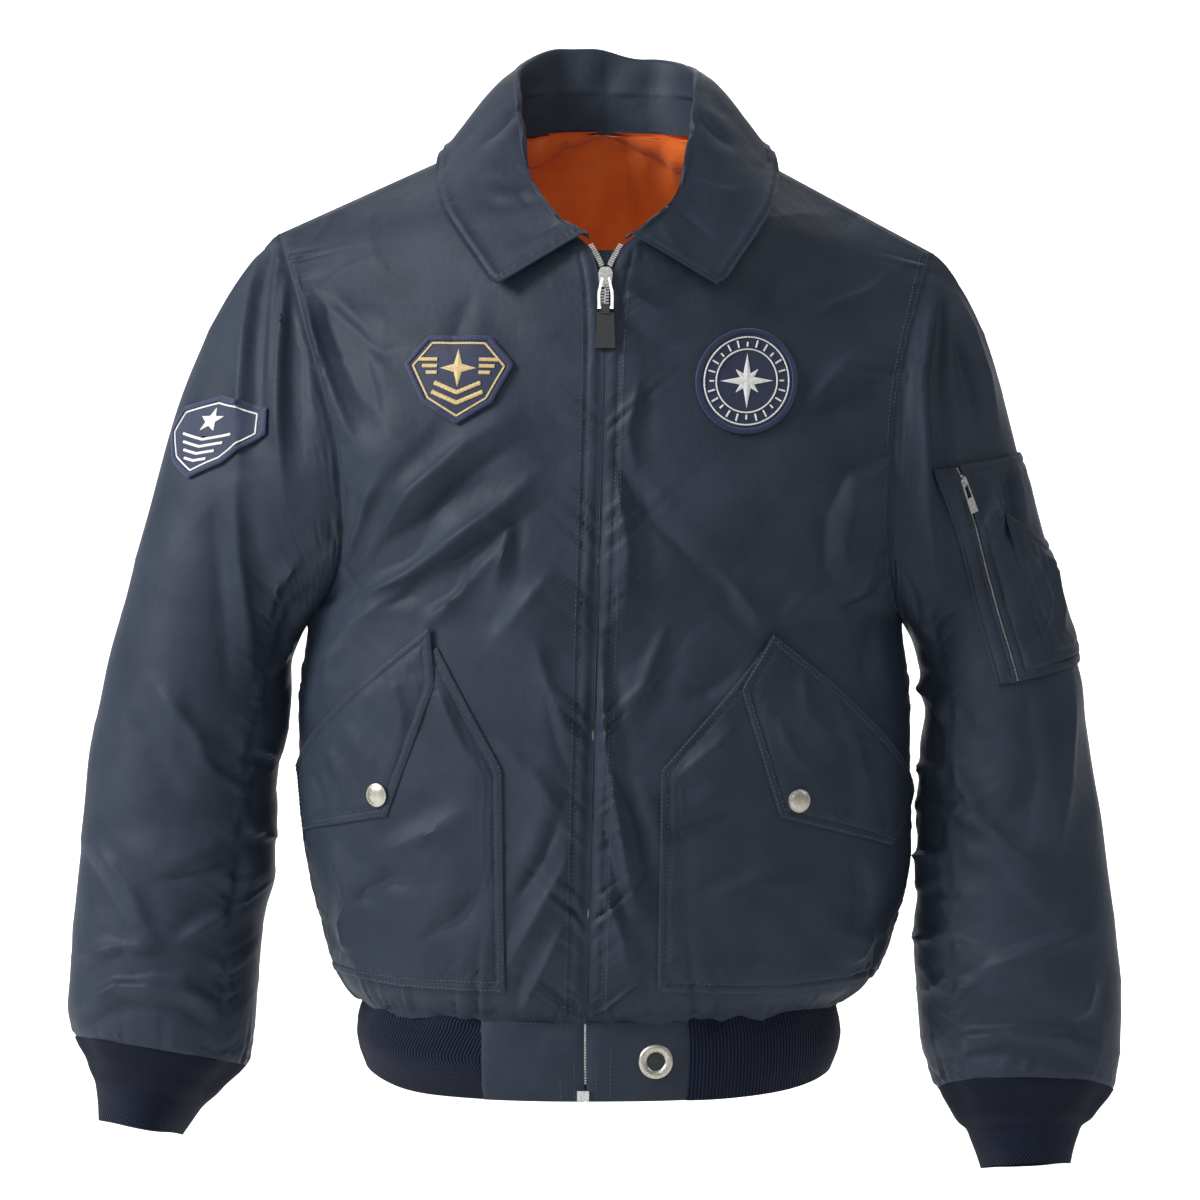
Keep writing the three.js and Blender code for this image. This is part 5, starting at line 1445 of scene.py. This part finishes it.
# Zip: tapes, teeth and the flap behind it
def closure_line(z):
    rows = np.linspace(0, NECK_CENTRE, 300)
    line = BODY_INNER["front"](rows)
    y = np.interp(z, line["z"], line["y"])
    part = np.clip((HEM_SEAM_Z - z) / (HEM_SEAM_Z - HEM_FRONT_Z), 0, 1)
    swell = np.interp(part, np.linspace(0, 1, len(HEM_SWELL)), HEM_SWELL)
    return point(closure_x(z), y * swell, z)


def closure_strip(name, start, end, deep, thickness, top, bottom, material):
    z = np.linspace(bottom, top, 160)[:, None]
    d = np.linspace(start, end, 14)[None, :]
    line = closure_line(z + 0 * d)
    grid = line + point(d, deep + d**2 / 260, 0)
    return shell(name, grid, thickness, [material, material], uv=uv_of(grid))


TAPE_DEEP = 5.6
CHAIN_DEEP = 3.4
for side in (-1, 1):
    name = side_name(side)
    ends = sorted((side * 0.4, side * 15))
    strip = closure_strip(f"zip_tape_{name}.cloth", *ends, TAPE_DEEP, 0.6, -90, -676, ZIP_TAPE)
    declare(strip, (15, 586), [f"zip_tape_{name}"])
flap = closure_strip("wind_flap.cloth", -22, 24, TAPE_DEEP + 1.4, 1.1, -84, -612, FLAP_SHELL)
declare(flap, (46, 528), ["wind_flap"])
for z in (-88, -91.5):
    d = np.linspace(-20, 22, 60)
    edge = closure_line(np.full(60, float(z))) + point(d, TAPE_DEEP + 1.0 + d**2 / 260, 0)
    stitch_rows["navy"].append((edge, point(np.zeros(60), -1, 0)))


class Parts:
    """Many small copies of one shape, joined as one mesh."""

    def __init__(self):
        self.points, self.faces, self.count = [], [], 0

    def add(self, points, faces):
        self.points.append(points)
        self.faces.append(faces + self.count)
        self.count += len(points)

    def copies(self, shape, faces, places, right, up, out):
        """Copies of a shape at places, with its x, y and z along the right, up and out directions."""
        axes = np.stack([right, up, out], axis=1)
        points = places[:, None] + np.einsum("vi,nij->nvj", shape, axes)
        steps_ = np.arange(len(places))[:, None, None] * len(shape)
        self.add(points.reshape(-1, 3), (faces[None] + steps_).reshape(-1, faces.shape[1]))

    def piece(self, name, material, slot, body=BODY, sharp=40):
        made = add_mesh(name, np.vstack(self.points), np.vstack(self.faces), [material], sharp=sharp)
        return made


BOX = np.array([(x, y, z) for z in (-0.5, 0.5) for y in (-0.5, 0.5) for x in (-0.5, 0.5)])
BOX_FACES = np.array([(0, 2, 3, 1), (4, 5, 7, 6), (0, 1, 5, 4), (2, 6, 7, 3), (0, 4, 6, 2), (1, 3, 7, 5)])
TOOTH_PITCH = 2.0

teeth = Parts()
tooth_z = np.arange(-112, -670, -TOOTH_PITCH)
for side in (-1, 1):
    z = tooth_z + (TOOTH_PITCH / 2 if side > 0 else 0)
    places = closure_line(z) + [side * 1.1, CHAIN_DEEP, 0]
    ahead = np.tile([1.0, 0, 0], (len(z), 1))
    teeth.copies(
        BOX * [3.4, 1.1, 2.0], BOX_FACES, places, ahead, np.tile([0, 0, 1.0], (len(z), 1)), np.tile([0, -1.0, 0], (len(z), 1))
    )
    open_part = np.linspace(0, 1, 11)
    open_z = -94.5 + 14 * open_part
    open_places = point(NECK_MIDDLE + side * (3.0 + 7.5 * open_part**1.2), -97.5 + 5 * open_part, open_z)
    lean = unit(np.tile([1.0, 0, -0.45 * side], (11, 1)))
    teeth.copies(BOX * [3.6, 1.1, 1.8], BOX_FACES, open_places, lean, np.cross(np.tile([0, -1.0, 0], (11, 1)), lean), np.tile([0, -1.0, 0], (11, 1)))
sleeve_teeth = facing.inset("outer", -0.9, 90)
places, normals = onto_left_sleeve.on(sleeve_teeth[:, 0], sleeve_teeth[:, 1])
places = places + normals * 1.4
down = unit(np.gradient(places, axis=0))
teeth.copies(BOX * [2.6, 0.9, 1.0], BOX_FACES, places, np.cross(down, normals), down, normals)
chain = teeth.piece("zip_teeth", ZIP_METAL, "metal")
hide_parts("zip_chain")

# More rows of stitches: beside the zip, round the armholes and along the hem blocks and collar
for side in (-1, 1):
    half, name = HALVES["front", side], side_name(side)
    z = np.linspace(-112, -616, 500)
    for s in (ZIP_STITCH, ZIP_STITCH + 3.4):
        points, normals = half.on(np.full_like(z, s), z)
        stitch_rows["navy"].append((points + normals * 0.15, normals))
    rows = np.linspace(ARMPIT + 0.5, SHOULDER - 0.2, 200)
    for inset in (3, 8):
        t = 1 - inset / np.interp(rows, half.rows, half.lengths)
        points = body_point("front", side, t, rows)
        ahead = body_point("front", side, t, rows + 0.02) - points
        across = body_point("front", side, t - 0.01, rows) - points
        normals = unit(np.cross(ahead, across)) * side
        stitch_rows["navy"].append((points + normals * (half.height(points) + 0.2)[..., None], normals))
    part = np.linspace(0.02, 0.98, 80)
    for gap in (2, ZIP_STITCH):
        edge = hem_point("front", side, np.full(80, gap / path_length(half.hem) + 0.012), part)
        out = point(np.full(80, 0.05 * side), -1, 0)
        stitch_rows["navy"].append((edge + out * 0.95, out))
    t = np.linspace(0.02, block_end(side) - 0.01, 60)
    seam = hem_point("front", side, t, np.full(60, 0.04))
    out = unit(seam * [1, 1, 0])
    stitch_rows["navy"].append((seam + out * 1.0, out))

fall_columns = collar_parts > 0.4
for gap in (1.5, EDGE_BAND):
    f = 1 - gap / 95
    column = np.argmin(np.abs(collar_parts - f))
    line = collar_grid[4:-4, column]
    stitch_rows["navy"].append((line + collar_normals[4:-4, column] * 0.15, collar_normals[4:-4, column]))
    for row in (0, -1):
        spots = collar_grid[:, fall_columns]
        depth = np.argmin(np.abs(run_along(collar_grid[::-1] if row else collar_grid, 0)[:, 60] - gap))
        index = len(collar_grid) - 1 - depth if row else depth
        end = collar_grid[index, collar_parts > 0.3]
        stitch_rows["navy"].append((end + collar_normals[index, collar_parts > 0.3] * 0.15, collar_normals[index, collar_parts > 0.3]))
stand_column = np.argmin(np.abs(collar_parts + 0.12))
stand = slice(40, -40)
stitch_rows["navy"].append((collar_grid[stand, stand_column] + collar_normals[stand, stand_column] * 0.15, collar_normals[stand, stand_column]))

STITCH = np.array([(-0.5, 0, 0), (0.5, 0, 0), (0, -0.5, 0), (0, 0.5, 0), (0, 0, 1), (0, 0, -0.5)])
STITCH_FACES = np.array([(0, 2, 4), (2, 1, 4), (1, 3, 4), (3, 0, 4), (2, 0, 5), (1, 2, 5), (3, 1, 5), (0, 3, 5)])
STITCH_SIZE = (2.3, 0.7, 0.42)
STITCH_PITCH = 3.1


def resample(values, run, at):
    return np.stack([np.interp(at, run, values[:, c]) for c in range(3)], -1)


sewing = Parts()
for points, normals in stitch_rows["navy"]:
    run = np.concatenate([[0], np.cumsum(np.linalg.norm(np.diff(points, axis=0), axis=1))])
    at = np.arange(STITCH_PITCH, run[-1], STITCH_PITCH)
    if len(at) < 2:
        continue
    places, out = resample(points, run, at), unit(resample(normals, run, at))
    ahead = unit(np.gradient(places, axis=0))
    sewing.copies(STITCH * STITCH_SIZE, STITCH_FACES, places, ahead, np.cross(out, ahead), out)
sewing.piece("stitching", NAVY_THREAD, "shell")


# Patches: plain twill with a sewn border and generic devices
SHIELD = [(38, 10), (22, 28), (-22, 28), (-38, 10), (-24, -16), (0, -30), (24, -16)]
SLEEVE_SHAPE = [(36, 4), (30, 20), (0, 28), (-30, 20), (-36, 4), (-20, -16), (0, -27), (20, -16)]
ROUND_RADIUS = 35


def polygon_at(corners, angle):
    """Distance out to a polygon in a direction, for many directions."""
    ray = np.stack([np.cos(angle), np.sin(angle)], -1)
    best = np.full(angle.shape, np.inf)
    for p, q in zip(corners, corners[1:] + corners[:1]):
        d = np.subtract(q, p)
        across = ray[..., 0] * d[1] - ray[..., 1] * d[0]
        far = (p[0] * d[1] - p[1] * d[0]) / np.where(across == 0, 1e-9, across)
        g = (p[0] * ray[..., 1] - p[1] * ray[..., 0]) / np.where(across == 0, 1e-9, across)
        hit = (far > 0) & (g >= -1e-6) & (g <= 1 + 1e-6)
        best = np.where(hit & (far < best), far, best)
    return best


def star_at(points, outer, inner, angle, turn=math.pi / 2):
    """Distance out to the edge of a star in a direction."""
    corners = []
    for i in range(points * 2):
        far = outer if i % 2 == 0 else inner
        corners.append((far * math.cos(turn + math.pi * i / points), far * math.sin(turn + math.pi * i / points)))
    return polygon_at(corners, angle)


class Patch:
    """A patch laid on the cloth: its own x and y are in millimetres from its centre."""

    def __init__(self, cloth, centre, per_mm=1.0, flip=1, tilt=0.0):
        self.cloth, self.centre, self.per_mm, self.flip, self.tilt = cloth, centre, per_mm, flip, math.radians(tilt)

    def at(self, x, y, height):
        c, s = math.cos(self.tilt), math.sin(self.tilt)
        x, y = x * c - y * s, x * s + y * c
        points, normals = self.cloth.on(self.centre[0] + self.flip * x * self.per_mm, self.centre[1] + y)
        return points + normals * np.asarray(height)[..., None], normals

    def disc(self, distance, height, middle=(0, 0), rings=9, parts=140, dome=0.0):
        """Rings of points out to a distance in each direction, as a grid."""
        angle = np.linspace(0, 2 * math.pi, parts + 1)[:-1]
        f = (np.linspace(0.02, 1, rings) ** 0.8)[:, None]
        far = distance(angle)[None, :] * f
        lift = height + dome * (1 - f**2) + 0 * far
        return self.at(middle[0] + far * np.cos(angle), middle[1] + far * np.sin(angle), lift)

    def line(self, distance, share, height, parts=220):
        angle = np.linspace(0, 2 * math.pi, parts + 1)
        far = distance(angle) * share
        return self.at(far * np.cos(angle), far * np.sin(angle), np.full(parts + 1, float(height)))


def tube(parts, points, normals, wide, high, sides=8, wave=0.0):
    """A flattened tube along a line of points, for a sewn border or cord of thread."""
    ahead = unit(np.gradient(points, axis=0))
    right = np.cross(normals, ahead)
    turn = np.linspace(0, 2 * math.pi, sides + 1)[:-1]
    swell = 1 + wave * np.sin(np.arange(len(points)) * 1.9)[:, None, None]
    ring = right[:, None] * np.cos(turn)[:, None] * wide + normals[:, None] * np.sin(turn)[:, None] * high
    grid = points[:, None] + ring * swell
    index = np.arange(len(points) * sides).reshape(-1, sides)
    index = np.hstack([index, index[:, :1]])
    faces = np.stack([index[:-1, :-1], index[:-1, 1:], index[1:, 1:], index[1:, :-1]], -1).reshape(-1, 4)
    parts.add(grid.reshape(-1, 3), faces[:, ::-1])


def sheet_of(parts, grid, turned):
    rows, columns = grid.shape[:2]
    index = np.arange(rows * columns).reshape(rows, columns)
    index = np.hstack([index, index[:, :1]])
    faces = np.stack([index[:-1, :-1], index[:-1, 1:], index[1:, 1:], index[1:, :-1]], -1).reshape(-1, 4)
    parts.add(grid.reshape(-1, 3), faces[:, ::-1] if turned else faces)


PATCH_TOP = LAY_GAP + PATCH_CLOTH
DEGREES_PER_MM = 0.9
gold, white, royal = Parts(), Parts(), Parts()


def shield_out(angle):
    return polygon_at(SHIELD, angle)


def round_out(angle):
    return np.full_like(angle, ROUND_RADIUS)


def sleeve_out(angle):
    return polygon_at(SLEEVE_SHAPE, angle)


patches = {
    "patch_chest_right": (Patch(HALVES["front", -1], (100, -174), flip=-1), shield_out, (78, 60), "front_right.cloth"),
    "patch_chest_left": (Patch(HALVES["front", 1], (99, -176)), round_out, (71, 71), "front_left.cloth"),
    "patch_sleeve_right": (Patch(SLEEVES[-1], (52, -216), DEGREES_PER_MM), sleeve_out, (74, 56), "sleeve_right.cloth"),
}
for node, (patch, outline, size, under) in patches.items():
    grid, _ = patch.disc(outline, PATCH_TOP, rings=9)
    flipped = np.mean(np.cross(grid[-1, 1] - grid[-1, 0], grid[-1, 0] - grid[0, 0])[1]) > 0
    twill = shell(f"{node}.cloth", grid, 1.0, [PATCH_NAVY, PATCH_NAVY], turned=flipped, closed=True, uv=uv_of(grid))
    declare(twill, size, [node])
    tube(royal, *patch.line(outline, 0.985, PATCH_TOP + 0.1), 1.9, 1.1, wave=0.06)

shield = patches["patch_chest_right"][0]
tube(gold, *shield.line(shield_out, 0.86, PATCH_TOP + 0.35), 0.75, 0.5, wave=0.1)
sheet_of(gold, shield.disc(lambda a: star_at(4, 13, 4, a), PATCH_TOP + 0.3, (0, 7), dome=0.6)[0], True)
for drop in (-6, -13):
    x = np.linspace(-15 - drop * 0.1 + drop * 0.35, 15 + drop * 0.1 - drop * 0.35, 40)
    tube(gold, *shield.at(x, drop + 0.42 * np.abs(x) - 4, np.full(40, PATCH_TOP + 0.45)), 1.5, 0.6, wave=0.08)
for flip in (-1, 1):
    for row in range(3):
        x = flip * np.linspace(15, 29 - 3 * row, 24)
        tube(gold, *shield.at(x, 13 - 4.5 * row + 0 * x, np.full(24, PATCH_TOP + 0.4)), 1.3, 0.55, wave=0.08)

compass = patches["patch_chest_left"][0]
for share in (0.86, 0.62):
    tube(white, *compass.line(round_out, share, PATCH_TOP + 0.35), 0.55, 0.4, wave=0.1)
sheet_of(white, compass.disc(lambda a: star_at(4, 19, 4.2, a), PATCH_TOP + 0.35, dome=0.6)[0], False)
sheet_of(white, compass.disc(lambda a: star_at(4, 12, 3.6, a, math.pi / 4), PATCH_TOP + 0.3, dome=0.4)[0], False)
for i in range(24):
    turn = 2 * math.pi * i / 24
    far = np.linspace(23.4, 28.4 if i % 3 else 26.6, 8)
    tube(white, *compass.at(far * math.cos(turn), far * math.sin(turn), np.full(8, PATCH_TOP + 0.4)), 0.65, 0.45)

arm = patches["patch_sleeve_right"][0]
tube(white, *arm.line(sleeve_out, 0.86, PATCH_TOP + 0.35), 0.65, 0.45, wave=0.1)
sheet_of(white, arm.disc(lambda a: star_at(5, 9, 3.8, a), PATCH_TOP + 0.35, (0, 12), dome=0.5)[0], True)
for row in range(4):
    x = np.linspace(-19 + 3.4 * row, 19 - 3.4 * row, 50)
    tube(white, *arm.at(x, 0.5 - 5 * row + 0.2 * np.abs(x) - 2, np.full(50, PATCH_TOP + 0.4)), 1.0, 0.55, wave=0.08)
gold.piece("patch_gold_thread", GOLD_THREAD, "patch")
white.piece("patch_white_thread", WHITE_THREAD, "patch")
royal.piece("patch_borders", thread("border thread", (0.005, 0.009, 0.035), (0.016, 0.026, 0.085), 0.3), "patch")



# Snaps and the eyelet, turned about the cloth's own direction
def turned_piece(name, node, material, profile, place, outward, sides=72):
    """A disc turned from a profile of radii and heights, standing on a place."""
    outward = unit(outward)
    right = unit(np.cross([0, 0, 1], outward))
    up = np.cross(outward, right)
    turn = np.linspace(0, 2 * math.pi, sides + 1)[:-1, None]
    rings = np.array(profile, float)
    rim = right * np.cos(turn) + up * np.sin(turn)
    grid = place + rings[:, None, :1] * rim + rings[:, None, 1:] * outward
    index = np.arange(len(rings) * sides).reshape(-1, sides)
    index = np.hstack([index, index[:, :1]])
    quads = np.stack([index[:-1, :-1], index[1:, :-1], index[1:, 1:], index[:-1, 1:]], -1).reshape(-1, 4)
    made = add_mesh(name, grid.reshape(-1, 3), quads[:, ::-1], [material], sharp=35)
    if node:
        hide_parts(node)
    return made


SNAP_PLACES = {-1: (151, -464), 1: (144, -467)}
SNAP_PROFILE = [
    (0.01, -1.0), (7.4, -1.0), (8.0, -0.2), (8.3, 0.5), (8.1, 1.1), (7.5, 1.35), (7.0, 1.25), (6.6, 1.45),
    (5.6, 1.95), (4.0, 2.35), (2.0, 2.55), (0.01, 2.6),
]
for side in (-1, 1):
    flap = Region(HALVES["front", side], **FLAP_EDGES[side])
    base, out = flap.surface(np.array([[SNAP_PLACES[side]]], float), FLAP_BASE, FLAP_CREASES, EDGE_BAND, 0.7)
    name = side_name(side)
    turned_piece(f"snap_{name}.cap", f"snap_{name}", SNAP_METAL, SNAP_PROFILE, base[0, 0], out[0, 0])

EYELET_RING = [
    (6.4, 0.0), (12.0, 0.0), (12.3, 0.5), (11.9, 1.3), (11.0, 1.9), (9.6, 2.1), (8.2, 1.8), (7.0, 1.1), (6.4, 0.4),
    (6.4, 0.0),
]
EYELET_PLUG = [(0.01, 0.0), (6.35, 0.0), (6.35, 0.45), (5.9, 0.7), (5.2, 0.75), (0.01, 0.85)]
eyelet_at = hem_point("front", 1, 0.16, 0.5)
beside = hem_point("front", 1, 0.18, 0.5) - eyelet_at
eyelet_out = unit(np.array([beside[1], -beside[0], 0]))
eyelet_at = eyelet_at + eyelet_out * 0.9
turned_piece("eyelet.ring", "eyelet", SNAP_METAL, EYELET_RING, eyelet_at, eyelet_out)
turned_piece("eyelet.plug", None, DARK_METAL, EYELET_PLUG, eyelet_at, eyelet_out)

# Hard pieces keep their solids and take better metals
HARD = {
    ZIP_METAL: ["zip_slider", "zip_link", "zip_box", "sleeve_zip_slider", "sleeve_zip_pull"],
    DARK_METAL: ["zip_tab"],
}
for material, nodes in HARD.items():
    for node in nodes:
        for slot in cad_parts[node].material_slots:
            slot.material = material

# Floor and backdrop, light and camera
FLOOR_Z = -0.93
BACKDROP = [(-6, 0), (3.6, 0), (4.4, 0.12), (4.9, 0.5), (5.1, 1.3), (5.2, 6)]


def studio():
    pale = Shader("pale floor", Roughness=0.9)
    pale.surface.inputs["Base Color"].default_value = (0.86, 0.86, 0.86, 1)
    grain = pale.noise(4, 2)
    pale.bump(grain, 0.2, 0.1)
    wide = 8
    profile = np.array(BACKDROP)
    points = [(x, y, z + FLOOR_Z) for x in (-wide, wide) for y, z in profile]
    count = len(profile)
    faces = [(i, i + count, i + count + 1, i + 1) for i in range(count - 1)]
    mesh = bpy.data.meshes.new("floor")
    mesh.from_pydata(points, [], faces)
    mesh.polygons.foreach_set("use_smooth", [True] * len(faces))
    mesh.materials.append(pale.finish())
    floor = bpy.data.objects.new("floor", mesh)
    bpy.context.scene.collection.objects.link(floor)


def area_light(name, place, target, size, watts, colour=(1, 1, 1)):
    light = bpy.data.lights.new(name, "AREA")
    light.shape = "RECTANGLE"
    light.size, light.size_y = size
    light.energy = watts
    light.color = colour
    lamp = bpy.data.objects.new(name, light)
    lamp.location = place
    lamp.rotation_euler = (Vector(target) - Vector(place)).to_track_quat("-Z", "Y").to_euler()
    bpy.context.scene.collection.objects.link(lamp)


studio()
MIDDLE = (0, 0, -0.35)
area_light("key", (-2.3, -1.1, 1.2), (-0.1, 0, -0.35), (0.9, 1.3), 105, (0.97, 0.99, 1))
area_light("front", (-0.6, -2.6, 2.4), MIDDLE, (1.0, 0.6), 12)
area_light("neck", (-0.1, -2.6, 0.7), (0, 0, 0), (0.4, 0.4), 6)
area_light("rim", (2.2, -0.3, 1.1), MIDDLE, (0.4, 1.2), 9, (0.93, 0.97, 1))
area_light("back", (0, 2.4, 2.4), (0, 4.2, -0.6), (4, 1.4), 260)

world = bpy.data.worlds.new("studio")
world.use_nodes = True
world.node_tree.nodes["Background"].inputs["Color"].default_value = (1, 1, 1, 1)
world.node_tree.nodes["Background"].inputs["Strength"].default_value = 0.24
bpy.context.scene.world = world
bpy.context.scene.view_settings.view_transform = "Standard"

SENSOR = 36
camera = bpy.data.cameras.new("camera")
camera.sensor_width = SENSOR
camera.lens = PHOTO_LENS * SENSOR / (2 * PHOTO_MIDDLE)
eye = bpy.data.objects.new("camera", camera)
eye.location = Vector(CAMERA * MM)
eye.rotation_euler = (math.pi / 2 - TILT, 0, 0)
bpy.context.scene.collection.objects.link(eye)
bpy.context.scene.camera = eye
